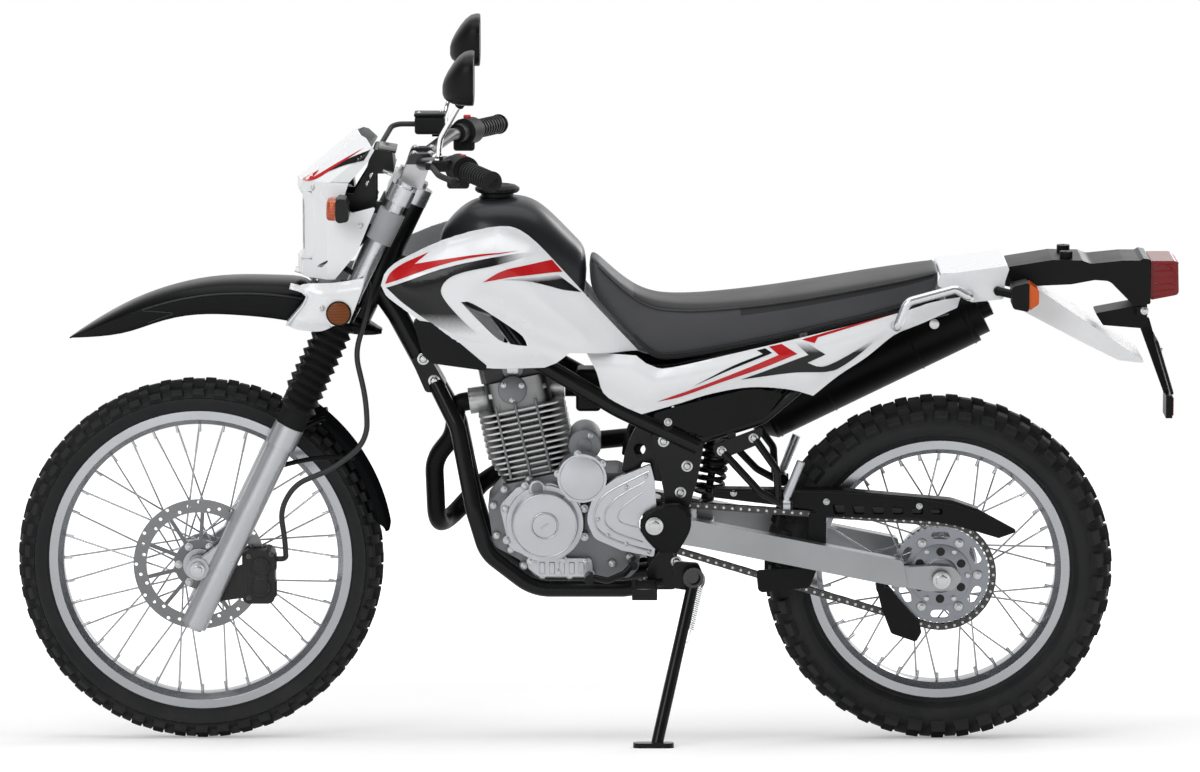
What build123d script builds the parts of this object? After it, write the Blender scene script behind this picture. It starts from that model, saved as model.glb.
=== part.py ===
"""Dual sport motorcycle, standing on its side stand.

Everything is drawn upright in the bike frame, in millimetres: +X to the rear, -Y to the rider's
left, +Z up, origin on the ground line midway between the axles. place() then leans each piece
over onto the side stand and moves the whole bike so that its box stands centred on z = 0.
"""
from build123d import *
import math
import os

os.makedirs("parts", exist_ok=True)

# ---------------------------------------------------------------- driving dimensions
LEAN_DEG = 8.0              # lean to the left, onto the side stand
WHEELBASE = 1360.0
RAKE_DEG = 25.7             # steering axis behind vertical
FIT = 0.3                   # gap at a seat between two separate pieces
RUN = 0.05                  # radial running clearance of a shaft in its bore

# front wheel: 21 inch
FRONT_R = 337.0             # tyre outer radius, at the lug tips
FRONT_W = 80.0              # tyre width
FRONT_RIM_R = 279.0         # rim flange outer radius
FRONT_RIM_W = 51.0
# rear wheel: 18 inch
REAR_R = 321.0
REAR_W = 120.0
REAR_RIM_R = 241.0
REAR_RIM_W = 66.0
RIM_FLANGE_H = 13.0         # flange height above the bead seat
RIM_WALL = 4.0
RIM_DEPTH = 14.0            # well below the bead seat
SPOKES = 36
SPOKE_R = 1.7
NIPPLE_DEPTH = 2.5          # how far a spoke end sits in the rim

# front end
AXLE_R = 7.5
AXLE_LEAD = 38.0            # axle ahead of the fork legs
CLAMP_OFFSET = 26.0         # steering axis behind the fork legs
LEG_Y = 97.0                # fork legs either side of the middle
TUBE_R = 17.5
SLIDER_R = 24.0
SLIDER_TOP_R = 28.0
BOOT_R = 35.0
BOOT_FOLDS = 11
DISC_Y = -62.0
DISC_R = 121.0
DISC_RING = 24.0            # width of the swept ring
DISC_T = 4.0
BAR_R = 11.1
BAR_HALF_W = 400.0
GRIP_L = 125.0
GRIP_R = 16.5

# heights along the fork, measured up the legs from beside the axle
SLIDER_LOW, SLIDER_TOP = -100.0, 312.0
BOOT_LOW, BOOT_TOP = 342.0, 528.0
LOWER_CLAMP = (536.0, 566.0)
UPPER_CLAMP = (768.0, 800.0)
TUBE_TOP = 808.0

# drive
PIVOT = (155.0, 421.0)      # swingarm pivot, x and z
CRANK = (-45.0, 420.0)      # crank and flywheel cover centre
CYL_TILT_DEG = 12.0         # cylinder leans forward
COUNTERSHAFT = (92.0, 430.0)
CHAIN_Y = -80.0
CHAIN_PITCH_R_FRONT = 30.5
CHAIN_PITCH_R_REAR = 97.1
CHAIN_H = 12.0
CHAIN_W = 15.0
ROLLER_R = 4.3
SPROCKET_T = 7.0
SPROCKET_TEETH = 48
ARM_Y = 111.0               # middle of each swingarm leg
ARM_W = 28.0

MUFFLER_Y = 166.0
MUFFLER_R = 54.0

# tapped holes for a luggage rack, in the top of the tail unit
RACK_X, RACK_Y, RACK_Z = 907.0, 40.0, 915.0
RACK_R, RACK_DEPTH = 3.0, 12.0

# frame tubes
HEAD_R = 27.0
STEM_R = 14.0
SPAR_R = 16.0
DOWN_R = 19.0
CRADLE_R = 15.0
RAIL_R = 11.0
PLATE_Y = 88.0              # inner face of the pivot plates
PLATE_T = 7.0

# ---------------------------------------------------------------- derived places
RAKE = math.radians(RAKE_DEG)
LEAN = math.radians(LEAN_DEG)
FRONT_AXLE = (-WHEELBASE / 2, FRONT_R)
REAR_AXLE = (WHEELBASE / 2, REAR_R)
UP = (math.sin(RAKE), math.cos(RAKE))           # x and z of a unit step up the fork
BACK = (math.cos(RAKE), -math.sin(RAKE))        # a unit step back from it


def on_fork(s, back=0.0, y=0.0):
    """A point s up the fork legs from beside the axle, and back behind them."""
    along = (s * UP[0] + (AXLE_LEAD + back) * BACK[0], s * UP[1] + (AXLE_LEAD + back) * BACK[1])
    return (FRONT_AXLE[0] + along[0], y, FRONT_AXLE[1] + along[1])


def fork_plane(s, back=0.0, y=0.0):
    """A plane square to the fork at that point; its local x points to the rear, its local y to the right."""
    return Plane(origin=on_fork(s, back, y), x_dir=(BACK[0], 0, BACK[1]), z_dir=(UP[0], 0, UP[1]))


# ---------------------------------------------------------------- shape helpers
def rounded(points, radii, closed):
    """Edges along straight runs with an arc at each corner, as wide as its runs leave room for."""
    count = len(points)
    pts = [Vector(*p) for p in points]
    corners = []
    for i in range(count):
        if not closed and i in (0, count - 1):
            corners.append((pts[i], None, pts[i]))
            continue
        back, ahead = pts[i - 1] - pts[i], pts[(i + 1) % count] - pts[i]
        angle = math.radians(back.get_angle(ahead))
        turn = math.pi - angle
        reach = min(radii[i] * math.tan(turn / 2), 0.49 * back.length, 0.49 * ahead.length)
        if reach < 0.05 or turn < 0.01:
            corners.append((pts[i], None, pts[i]))
            continue
        a, b = pts[i] + back.normalized() * reach, pts[i] + ahead.normalized() * reach
        radius = reach / math.tan(turn / 2)
        middle = (back.normalized() + ahead.normalized()).normalized()
        top = pts[i] + middle * (radius / math.cos(turn / 2) - radius)
        corners.append((a, top, b))
    edges = []
    for i, (a, top, b) in enumerate(corners):
        if top is not None:
            edges.append(ThreePointArc(a, top, b).edge())
        if closed or i < count - 1:
            start = corners[(i + 1) % count][0]
            if (start - b).length > 0.001:
                edges.append(Line(b, start).edge())
    return edges


def outline(rows):
    """A face in the side view from rows of (x, z, corner radius)."""
    return make_face(rounded([(x, 0, z) for x, z, _ in rows], [r for _, _, r in rows], True))


def plan(rows):
    """A face in the plan view from rows of (x, y, corner radius)."""
    return make_face(rounded([(x, y, 0) for x, y, _ in rows], [r for _, _, r in rows], True))


def slab(rows, y_low, y_high):
    """A side-view outline given a thickness from y_low to y_high."""
    return extrude(Pos(0, y_low, 0) * outline(rows), y_high - y_low, dir=(0, 1, 0))


def column(rows, z_low, z_high):
    """A plan-view outline given a height from z_low to z_high."""
    return extrude(Pos(0, 0, z_low) * plan(rows), z_high - z_low, dir=(0, 0, 1))


def tube(points, radius, bend=0.0):
    """A round bar along straight runs joined by arcs."""
    bends = [0.0, *bend, 0.0] if isinstance(bend, (list, tuple)) else [bend] * len(points)
    path = Wire(rounded(points, bends, False))
    start = Plane(origin=path @ 0, z_dir=path % 0)
    return sweep(start * Circle(radius), path=path)


def rod(a, b, radius):
    """A plain cylinder from a to b."""
    axis = Vector(*b) - Vector(*a)
    return extrude(Plane(origin=a, z_dir=axis) * Circle(radius), axis.length)


def cross_rod(x, z, radius, y_low, y_high):
    """A cylinder across the bike."""
    return rod((x, y_low, z), (x, y_high, z), radius)


def block(x_low, x_high, y_low, y_high, z_low, z_high, edge=0.0):
    """An upright box between two corners, its edges rounded if edge is given."""
    box = Box(x_high - x_low, y_high - y_low, z_high - z_low)
    if edge:
        box = fillet(box.edges(), edge)
    return Pos((x_low + x_high) / 2, (y_low + y_high) / 2, (z_low + z_high) / 2) * box


def turned(rows):
    """A solid turned about the Y axis from rows of (radius, y)."""
    line = Polyline(*[(r, y, 0) for r, y in rows], close=True)
    return revolve(make_face(line.edges()), Axis.Y)


def both(shape):
    """A left piece and its mirror image on the right."""
    return [shape, mirror(shape, about=Plane.XZ)]


def lofted(rows):
    """A body through rounded rectangles square to X: rows of (x, z_low, z_high, half_width, corner)."""
    faces = []
    for x, z_low, z_high, half, corner in rows:
        across = Plane(origin=(x, 0, (z_low + z_high) / 2), x_dir=(0, 1, 0), z_dir=(1, 0, 0))
        faces.append(across * RectangleRounded(2 * half, z_high - z_low, corner))
    return loft(faces, ruled=True)


def at(shape, x, z, y=0.0):
    return Pos(x, y, z) * shape


PIECES = {}


def piece(name, *shapes):
    """Names a node. Several shapes stay separate solids in one node."""
    solids = [s for shape in shapes for s in (shape if isinstance(shape, list) else [shape])]
    PIECES[name] = solids


def joined(*shapes):
    """One solid from shapes that meet."""
    whole = shapes[0]
    for s in shapes[1:]:
        whole = whole + s
    return whole


# ---------------------------------------------------------------- wheels
def tyre_section(radius, width, rim_r, rim_w):
    """Half a tyre section as (radius, y), from the bead seat to the crown."""
    seat = rim_r - RIM_FLANGE_H + FIT / 2
    bead = rim_w / 2 - RIM_WALL - FIT / 2
    rise = radius - rim_r
    return [
        (seat, bead),
        (rim_r + FIT, bead),
        (rim_r + 0.28 * rise, 0.46 * width),
        (rim_r + 0.60 * rise, 0.50 * width),
        (rim_r + 0.82 * rise, 0.44 * width),
        (rim_r + 0.94 * rise, 0.27 * width),
        (radius - 0.5, 0.11 * width),
        (radius, 0.0),
    ]


def tyre(radius, width, rim_r, rim_w):
    half = tyre_section(radius, width, rim_r, rim_w)
    return turned(half + [(r, -y) for r, y in reversed(half[:-1])])


def rim(rim_r, rim_w):
    """A drop-centre rim: two flanges, the bead seats and the well that the spokes meet."""
    seat = rim_r - RIM_FLANGE_H
    side = rim_w / 2
    inner = side - RIM_WALL
    well = seat - RIM_DEPTH
    half = [(seat, inner), (rim_r, inner), (rim_r, side), (seat - 3, side), (well + 1, side * 0.55), (well, side * 0.3)]
    rows = [(r, -y) for r, y in half]
    return turned(rows + list(reversed(half)))


def spokes(flange_r, flange_y, rim_inner_r, swing_deg):
    """Crossed wire spokes: from each flange half of them lead and half trail."""
    wires = []
    step = 360.0 / SPOKES
    for i in range(SPOKES):
        side = -1 if i % 2 else 1
        leads = (i // 2) % 2 == 0
        rim_a = math.radians(i * step)
        hub_a = rim_a + math.radians(swing_deg if leads else -swing_deg)
        hub_y = side * (flange_y + (SPOKE_R + 0.6 if leads else -SPOKE_R - 0.6))
        rim_y = side * (7.5 if leads else 3.0)
        reach = rim_inner_r + NIPPLE_DEPTH
        wires.append(rod((flange_r * math.cos(hub_a), hub_y, flange_r * math.sin(hub_a)),
                         (reach * math.cos(rim_a), rim_y, reach * math.sin(rim_a)), SPOKE_R))
    return wires


def hub(rows, bore_r, wires):
    body = turned(rows) - rod((0, -200, 0), (0, 200, 0), bore_r)
    return body + wires


def front_disc():
    face = Circle(DISC_R) - Circle(DISC_R - DISC_RING)
    arms = [Rot(0, 0, a) * Pos(DISC_R * 0.57, 0) * Rectangle(DISC_R * 0.55, 7) for a in range(0, 360, 36)]
    face = face + [Rot(0, 0, 14) * a for a in arms] + (Circle(46) - Circle(30.2))
    holes = []
    for i in range(36):
        r = DISC_R - 5 - 6.5 * (i % 3)
        holes.append(Rot(0, 0, i * 10) * Pos(r, 0) * Circle(3.2))
    face = face - holes
    return Rot(90, 0, 0) * Pos(0, 0, -DISC_T / 2) * extrude(face, DISC_T)


def sprocket():
    tip = CHAIN_PITCH_R_REAR - ROLLER_R - 0.7
    root = tip - 3.5
    step = 360 / SPROCKET_TEETH
    points = []
    for i in range(SPROCKET_TEETH):
        for r, turn in ((root, -0.30), (tip, -0.12), (tip, 0.12), (root, 0.30)):
            a = math.radians((i + turn) * step)
            points.append((r * math.cos(a), r * math.sin(a)))
    face = make_face(Polyline(*points, close=True).edges()) - Circle(30.2)
    for i in range(6):
        window = Pos(73, 0) * SlotOverall(34, 15, rotation=90)
        face = face - Rot(0, 0, 60 * i + 30) * window
    return Rot(90, 0, 0) * Pos(0, 0, -SPROCKET_T / 2) * extrude(face, SPROCKET_T)


def wheels():
    front_well = FRONT_RIM_R - RIM_FLANGE_H - RIM_DEPTH
    rear_well = REAR_RIM_R - RIM_FLANGE_H - RIM_DEPTH
    fx, fz = FRONT_AXLE
    rx, rz = REAR_AXLE
    piece("front_tyre", at(tyre(FRONT_R, FRONT_W, FRONT_RIM_R, FRONT_RIM_W), fx, fz))
    piece("front_rim", at(rim(FRONT_RIM_R, FRONT_RIM_W), fx, fz))
    disc_back = DISC_Y + DISC_T / 2
    front_rows = [(7, disc_back - 8), (30, disc_back - 8), (30, disc_back), (46, disc_back), (46, disc_back + 6), (24, disc_back + 8),
                  (24, -36), (40, -35), (40, -29), (22, -26), (22, 26), (40, 29), (40, 35), (24, 36), (24, 60), (7, 60)]
    piece("front_hub", at(hub(front_rows, AXLE_R + RUN, spokes(37, 32, front_well, 58)), fx, fz))
    piece("front_disc", at(front_disc(), fx, fz, DISC_Y))

    piece("rear_tyre", at(tyre(REAR_R, REAR_W, REAR_RIM_R, REAR_RIM_W), rx, rz))
    piece("rear_rim", at(rim(REAR_RIM_R, REAR_RIM_W), rx, rz))
    sprocket_back = CHAIN_Y + SPROCKET_T / 2
    rear_rows = [(7, sprocket_back - SPROCKET_T), (30, sprocket_back - SPROCKET_T), (30, sprocket_back), (60, sprocket_back),
                 (60, sprocket_back + 12), (48, sprocket_back + 14), (48, -40), (62, -37), (62, -31), (34, -27), (34, 12), (70, 16),
                 (74, 22), (74, 46), (68, 50), (7, 50)]
    piece("rear_hub", at(hub(rear_rows, AXLE_R + RUN, spokes(58, 34, rear_well, 46)), rx, rz))
    piece("rear_sprocket", at(sprocket(), rx, rz, CHAIN_Y))


# ---------------------------------------------------------------- fork and what turns with it
def fork():
    ax, az = FRONT_AXLE
    sliders = cross_rod(ax, az, AXLE_R - RUN, -LEG_Y, LEG_Y)
    uppers, boots = [], []
    for side in (-1, 1):
        y = side * LEG_Y
        leg = rod(on_fork(SLIDER_LOW, 0, y), on_fork(SLIDER_TOP - 42, 0, y), SLIDER_R)
        leg += rod(on_fork(SLIDER_TOP - 42, 0, y), on_fork(SLIDER_TOP, 0, y), SLIDER_TOP_R)
        leg += rod(on_fork(SLIDER_LOW - 6, 0, y), on_fork(SLIDER_LOW, 0, y), SLIDER_R - 6)
        y_in, y_out = y - side * SLIDER_R, y + side * 14
        lug = rod((ax, y_in, az), (ax, y_out, az), 20)
        web = slab([(ax - 19, az, 0), (ax + 6, az - 19, 0), on_xz(-60, -10), on_xz(75, -12)], min(y_in, y_out) + 6, max(y_in, y_out) - 6)
        hub_end = 60.6 if side > 0 else abs(DISC_Y) + 6.6
        spacer = rod((ax, side * hub_end, az), (ax, y, az), 12)
        nut = rod((ax, y_out, az), (ax, y_out + side * 9, az), 12)
        sliders = joined(sliders, leg, lug, web, spacer, nut)
        uppers.append(rod(on_fork(SLIDER_TOP + FIT, 0, y), on_fork(TUBE_TOP, 0, y), TUBE_R))
        boots.append(boot(y))
    piece("fork_sliders", sliders)
    piece("fork_boots", boots)

    spread = LEG_Y + TUBE_R + 6

    def clamp(low, high):
        body = fork_plane(low) * RectangleRounded(2 * TUBE_R + 13, 2 * spread, TUBE_R + 6)
        corners = [(0, -70), (0, 70), (CLAMP_OFFSET, HEAD_R), (CLAMP_OFFSET, -HEAD_R)]
        body += fork_plane(low) * make_face(Polyline(*corners, close=True).edges())
        body += fork_plane(low, CLAMP_OFFSET) * Circle(HEAD_R + 1)
        return extrude(body, high - low)

    stem = rod(on_fork(LOWER_CLAMP[1], CLAMP_OFFSET), on_fork(UPPER_CLAMP[0], CLAMP_OFFSET), STEM_R)
    nut = rod(on_fork(UPPER_CLAMP[1], CLAMP_OFFSET), on_fork(UPPER_CLAMP[1] + 10, CLAMP_OFFSET), 15)
    piece("triple_clamps", joined(clamp(*LOWER_CLAMP), stem, clamp(*UPPER_CLAMP), nut, *uppers))


def on_xz(s, back):
    """An outline row at a place on the fork, with a sharp corner."""
    x, _, z = on_fork(s, back)
    return (x, z, 0)


def boot(y):
    """A ribbed rubber gaiter around one fork tube, with a plain band at its foot."""
    pitch = (BOOT_TOP - BOOT_LOW) / BOOT_FOLDS
    inner = TUBE_R + FIT
    rows = [(inner, SLIDER_TOP + FIT), (SLIDER_TOP_R - 1, SLIDER_TOP + FIT), (SLIDER_TOP_R - 1, BOOT_LOW)]
    for i in range(BOOT_FOLDS):
        foot = BOOT_LOW + i * pitch
        rows += [(BOOT_R - 1 - 0.2 * i, foot + pitch * 0.55), (BOOT_R - 9 - 0.2 * i, foot + pitch)]
    rows += [(inner, BOOT_TOP)]
    line = Polyline(*[(r, 0, s) for r, s in rows], close=True)
    body = revolve(make_face(line.edges()), Axis.Z)
    return fork_plane(0, 0, y).location * body


BAR_Z = 1078.0
BAR_X = -268.0
GRIP_Z = 1098.0
BAR_BEND = (-221.0, 190.0, GRIP_Z + 1)
GRIP_OUT = (-136.0, BAR_HALF_W, GRIP_Z - 6)


def along_grip(d, side, up=0.0, fore=0.0):
    """A point d inwards along the bar from the grip's outer end."""
    a, b = Vector(*GRIP_OUT), Vector(*BAR_BEND)
    p = a + (b - a).normalized() * d
    return (p.X - fore, side * p.Y, p.Z + up)


def bars():
    half = [(BAR_X, 0, BAR_Z), (BAR_X, 62, BAR_Z), BAR_BEND, GRIP_OUT]
    right = tube(half, BAR_R, [40, 60])
    bar = right + mirror(right, about=Plane.XZ)
    risers = []
    for side in (-1, 1):
        y = side * 42
        riser = slab([(BAR_X - 22, BAR_Z + 18, 8), (BAR_X + 22, BAR_Z + 18, 8), on_xz(UPPER_CLAMP[1] + FIT, 32), on_xz(UPPER_CLAMP[1] + FIT, -10)],
                     y - 14, y + 14)
        risers.append(riser)
    piece("handlebar", joined(bar, *risers))
    grips, controls, levers = [], [], []
    for side in (-1, 1):
        a, b = along_grip(0, side), along_grip(GRIP_L, side)
        sleeve = rod(a, b, GRIP_R)
        for i in range(9):
            sleeve += rod(along_grip(10 + 12 * i, side), along_grip(15 + 12 * i, side), GRIP_R + 1.4)
        sleeve += rod(along_grip(-7, side), along_grip(0, side), GRIP_R + 1)
        sleeve += rod(along_grip(GRIP_L - 4, side), along_grip(GRIP_L, side), GRIP_R + 5)
        grips.append(sleeve - rod(along_grip(-FIT, side), along_grip(GRIP_L + 20, side), BAR_R + RUN))
        housing = rod(along_grip(GRIP_L + FIT, side), along_grip(GRIP_L + 42, side), 25)
        box_low = along_grip(GRIP_L + 29, side)
        housing += Pos(box_low[0] - 4, box_low[1], box_low[2] - 14) * fillet(Box(40, 24, 44).edges(), 6)
        perch_mid = along_grip(GRIP_L + 58, side)
        housing += rod(along_grip(GRIP_L + 40, side), along_grip(GRIP_L + 72, side), 17)
        perch = Pos(perch_mid[0] - 24, perch_mid[1], perch_mid[2]) * fillet(Box(34, 26, 20).edges(), 4)
        housing += perch
        if side > 0:
            tank_at = along_grip(GRIP_L + 98, side)
            pot = Pos(tank_at[0] - 40, tank_at[1], tank_at[2] + 20) * fillet(Box(56, 52, 34).edges(), 6)
            housing = housing + pot + Pos(perch_mid[0] - 26, perch_mid[1] - 14, perch_mid[2]) * Box(30, 24, 20)
        pivot = Vector(perch_mid[0] - 42, perch_mid[1] + side * 2, perch_mid[2])
        tip = Vector(*along_grip(8, side, up=-2, fore=62))
        mid = Vector(*along_grip(GRIP_L * 0.6, side, up=-1, fore=66))
        lever = tube([tuple(pivot), tuple(mid), tuple(tip)], 5.5, [120])
        lever += Pos(*tip) * Sphere(8.5)
        lever += Pos(*pivot) * Box(20, 22, 12)
        controls.append(housing + lever - rod(along_grip(GRIP_L - 20, side), along_grip(GRIP_L + 130, side), BAR_R + RUN))
    piece("bar_controls", controls, grips)
    mirrors()


def mirrors():
    stems, heads = [], []
    for side in (-1, 1):
        root = along_grip(GRIP_L + 58, side, up=10 + FIT, fore=28)
        knee = (root[0], root[1], root[2] + 34)
        tip = (root[0] + 42, root[1] + side * 50, root[2] + 112)
        stem = tube([root, knee, tip], 5, [60])
        head_mid = (tip[0] + 12, tip[1] + side * 18, tip[2] + 44)
        face = Plane(origin=head_mid, x_dir=(0, 1, 0), z_dir=(1, 0, 0))
        shell = loft([face.offset(-44) * RectangleRounded(70, 46, 20),
                      face.offset(-14) * RectangleRounded(118, 84, 26),
                      face.offset(10) * RectangleRounded(128, 94, 28)], ruled=True)
        stems.append(joined(stem, shell))
    piece("mirrors", stems)


def mask():
    """White headlight mask: a wrapped lower half and a visor that slopes back over the lamp."""
    wrap_rows = [(-497, 0), (-486, 62), (-440, 104), (-338, 116)]
    wall = 3.5
    outer = [(x, -y) for x, y in reversed(wrap_rows)] + wrap_rows[1:]
    inner = [(x + wall, y * (1 - wall / 110)) for x, y in reversed(outer)]
    wrap = extrude(Pos(0, 0, 860) * make_face(Polyline(*[(x, y, 0) for x, y in outer + inner], close=True).edges()), 300, dir=(0, 0, 1))
    low = [(-520, 1049, 0), (-400, 1049, 0), (-409, 1020, 8), (-397, 994, 8), (-350, 1007, 3), (-385, 922, 10), (-426, 872, 4), (-474, 872, 4),
           (-520, 880, 0)]
    lower = wrap & slab(low, -130, 130)
    lower -= slab([(-520, 1030, 0), (-460, 1030, 0), (-460, 905, 0), (-520, 905, 0)], -78, 78)
    lower -= slab([(-462, 893, 2), (-428, 915, 2), (-450, 893, 2)], -130, 130)
    slope = Plane(origin=(-497, 0, 1046), x_dir=(0, 1, 0), z_dir=(math.cos(math.radians(40)), 0, math.sin(math.radians(40))))
    curve = [(0, 0), (62, -8), (98, -38), (104, -78)]
    out = [(-x, y) for x, y in reversed(curve)] + curve[1:]
    back = [(x * (1 - wall / 104), y - wall) for x, y in reversed(out)]
    visor = extrude(slope * make_face(Polyline(*out, *back, close=True).edges()), 150)
    high = [(-499, 1047, 0), (-394, 1137, 6), (-347, 1118, 4), (-366, 1086, 8), (-399, 1049.5, 2)]
    visor = visor & slab(high, -130, 130)
    stalk_hole = cross_rod(-408, 1008, 8 + FIT, -140, 140)
    return joined(lower, visor) - stalk_hole


LAMP_BACK = -420.0
BRIDGE_Y = LEG_Y + 39       # outer face of the fender bridge plates


def lamps():
    piece("headlight_mask", mask())
    lens = slab([(-486, 1027, 6), (-474, 1027, 2), (-474, 908, 2), (-486, 908, 6)], -62, 62)
    shell = block(-474 + FIT, LAMP_BACK, -64, 64, 910, 1025, 12)
    meter = slab([(-372, 1060, 6), (-356, 1105, 6), (-322, 1100, 6), (-318, 1060, 6)], -58, 58)
    stay = slab([(LAMP_BACK, 1022, 0), (LAMP_BACK, 930, 0), (-384, 930, 0), (-352, 1000, 0), (-352, 1061, 0), (-370, 1061, 0),
                 (-394, 1022, 0)], -50, -44)
    stays = stay + mirror(stay, about=Plane.XZ)
    ears = []
    for side in (-1, 1):
        y = side * LEG_Y
        ear = rod(on_fork(690, 0, y), on_fork(750, 0, y), TUBE_R + 7) - rod(on_fork(680, 0, y), on_fork(760, 0, y), TUBE_R + 0.05)
        ya, yb, yc = side * 46, side * 74, side * (LEG_Y - 8)
        arm = block(-400, -370, min(ya, yc), max(ya, yc), 972, 990)
        arm += block(-400, -346, min(yb, yc), max(yb, yc), 972, 990)
        arm -= rod(on_fork(640, 0, y), on_fork(800, 0, y), TUBE_R + 0.05)
        ears += [ear, arm]
    cross = block(LAMP_BACK - 2, LAMP_BACK + 8, -48, 48, 950, 990)
    bodies = []
    for side in (-1, 1):
        y0, y1 = side * 128, side * 188
        body = slab([(-421, 1032, 8), (-400, 1030, 8), (-396, 990, 8), (-421, 986, 8)], min(y0, y1), max(y0, y1))
        stalk = rod((-408, side * 45, 1008), (-408, side * 132, 1008), 8)
        bodies += [body + stalk]
    piece("lamp_bracket", joined(shell, meter, stays, cross, *ears, *bodies))
    amber = []
    for side in (-1, 1):
        y0, y1 = side * 131, side * 185
        amber.append(slab([(-438, 1027, 8), (-421.2, 1031, 2), (-421.2, 987, 2), (-438, 991, 8)], min(y0, y1), max(y0, y1)))
    reflect = rod((-418, -(BRIDGE_Y + 8), 815), (-418, -(BRIDGE_Y + FIT), 815), 22)
    amber += both(reflect)
    piece("front_lenses", lens, amber)


def fenders():
    """High front fender: an arched shell with a skirt, pointed at both ends."""
    wall = 3.5
    spine = [(-922, 748, 0), (-862, 790, 250), (-745, 845, 400), (-600, 868, 900), (-484, 858, 60), (-446, 812, 30), (-372, 778, 60),
             (-344, 764, 0)]
    foot = [(-372, 756, 0), (-410, 764, 60), (-505, 786, 300), (-620, 800, 900), (-735, 796, 400), (-850, 756, 60)]
    side = slab(spine + foot, -90, 90)
    wide = column([(-922, -8, 0), (-840, -48, 60), (-650, -68, 200), (-450, -76, 200), (-380, -60, 60), (-318, -12, 0),
                   (-318, 12, 0), (-380, 60, 60), (-450, 76, 200), (-650, 68, 200), (-840, 48, 60), (-922, 8, 0)], 700, 900)
    shell = side & wide
    drop = wall / math.cos(math.radians(10))
    under = [(x, z - drop - 1.5, r) for x, z, r in spine[1:-1]]
    hollow_side = slab([(-880, 740, 0)] + under + [(-350, 740, 0)], -90, 90)
    hollow_wide = column([(-880, -24, 0), (-800, -48, 60), (-650, -62, 200), (-450, -70, 200), (-385, -54, 60), (-340, -14, 0),
                          (-340, 14, 0), (-385, 54, 60), (-450, 70, 200), (-650, 62, 200), (-800, 48, 60), (-880, 24, 0)], 700, 900)
    shell -= hollow_side & hollow_wide
    shell += rod(on_fork(LOWER_CLAMP[0] - FIT, 12), on_fork(LOWER_CLAMP[0] - 12, 12), 20)
    for side_y in (-1, 1):
        shell -= rod(on_fork(460, 0, side_y * LEG_Y), on_fork(640, 0, side_y * LEG_Y), BOOT_R + 2)
    return shell


def bridge():
    """White side pieces that hold the high fender at the lower clamp."""
    rows = [(-500, 864, 4), (-478, 870, 10), (-426, 868, 6), (-371, 877, 4), (-372, 862, 30), (-398, 800, 20), (-412, 790, 6),
            (-455, 782, 8), (-508, 790, 3), (-474, 838, 6), (-473, 850, 6)]
    plate = slab(rows, -BRIDGE_Y, -(BRIDGE_Y - 4))
    inward = slab([(-500, 864, 4), (-478, 870, 4), (-474, 838, 4), (-476, 830, 2), (-496, 806, 2), (-508, 792, 2)], -(BRIDGE_Y - 2), -75.6)
    return joined(plate, inward)


def front_end():
    fork()
    bars()
    lamps()
    piece("fender_bridge", both(bridge()))
    # small mudguard behind the front tyre, on the fork legs
    ax, az = FRONT_AXLE
    clear = FRONT_R + 14
    band = Circle(clear + 4) - Circle(clear)
    band = extrude(Plane.XZ * band, 58, both=True)
    sector = slab([(0, 0, 0), (340, 470, 0), (500, 420, 0), (620, 120, 0)], -70, 70)
    guard = at(band & sector, ax, az)
    for side in (-1, 1):
        leg = rod(on_fork(SLIDER_TOP - 150, 0, side * LEG_Y), on_fork(TUBE_TOP, 0, side * LEG_Y), BOOT_R + 1)
        guard -= leg
        lug_top = on_fork(SLIDER_TOP - 60, SLIDER_R + FIT, side * (LEG_Y - 10))
        lug = rod(lug_top, (ax + 226, side * 53, az + 270), 7)
        lug -= rod(on_fork(SLIDER_LOW, 0, side * LEG_Y), on_fork(SLIDER_TOP, 0, side * LEG_Y), SLIDER_R + FIT)
        guard += lug - rod(on_fork(SLIDER_TOP - 42 - FIT, 0, side * LEG_Y), on_fork(SLIDER_TOP, 0, side * LEG_Y), SLIDER_TOP_R + FIT)
    piece("front_fenders", fenders(), guard)
    # brake caliper over the rear of the disc, on a bracket from the left leg
    cx, cz = ax + 110, az - 18
    body = Pos(cx, DISC_Y, cz) * fillet(Box(60, 64, 100).edges().filter_by(Axis.Y), 14)
    slot = Pos(ax, DISC_Y, az) * Rot(90, 0, 0) * extrude(Circle(DISC_R + 6), 7, both=True)
    spare = Pos(cx, -24, cz) * Box(90, 24, 140)
    hang = slab([on_xz(20, 12), on_xz(-48, 12), (cx + 8, cz - 34, 4), (cx + 8, cz + 34, 4)], DISC_Y - 32, DISC_Y - 24)
    caliper = body - slot - spare + hang
    for side_y in (-1,):
        caliper -= rod(on_fork(SLIDER_LOW - 20, 0, side_y * LEG_Y), on_fork(SLIDER_TOP, 0, side_y * LEG_Y), SLIDER_R + FIT)
    piece("brake_caliper", caliper)
    hose()


def hose():
    """Front brake hose: from the master cylinder down behind the mask and the left leg to the caliper."""
    start = along_grip(GRIP_L + 98, 1, up=20, fore=68.5)
    ax, az = FRONT_AXLE
    points = [start, (start[0] - 40, start[1], start[2]), (-352, 92, 1086), (-358, 64, 1046), (-364, 64, 930), (-424, 20, 892),
              (-418, -50, 888), (-362, -70, 862), (-364, -86, 830), (-374, -92, 790), (-390, -98, 735), (-370, -106, 650), (-368, -110, 575), (-430, -118, 525), (-500, -122, 498),
              (-528, -122, 450), (-520, -112, 392), (-520, -78, 350), (-539.2, -78, 350)]
    radii = []
    for a, b, c in zip(points, points[1:], points[2:]):
        u, v = Vector(*b) - Vector(*a), Vector(*c) - Vector(*b)
        turn = math.radians(u.get_angle(v))
        radii.append(0.45 * min(u.length, v.length) / math.tan(turn / 2))
    piece("brake_hose", tube(points, 5.0, radii))


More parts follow.
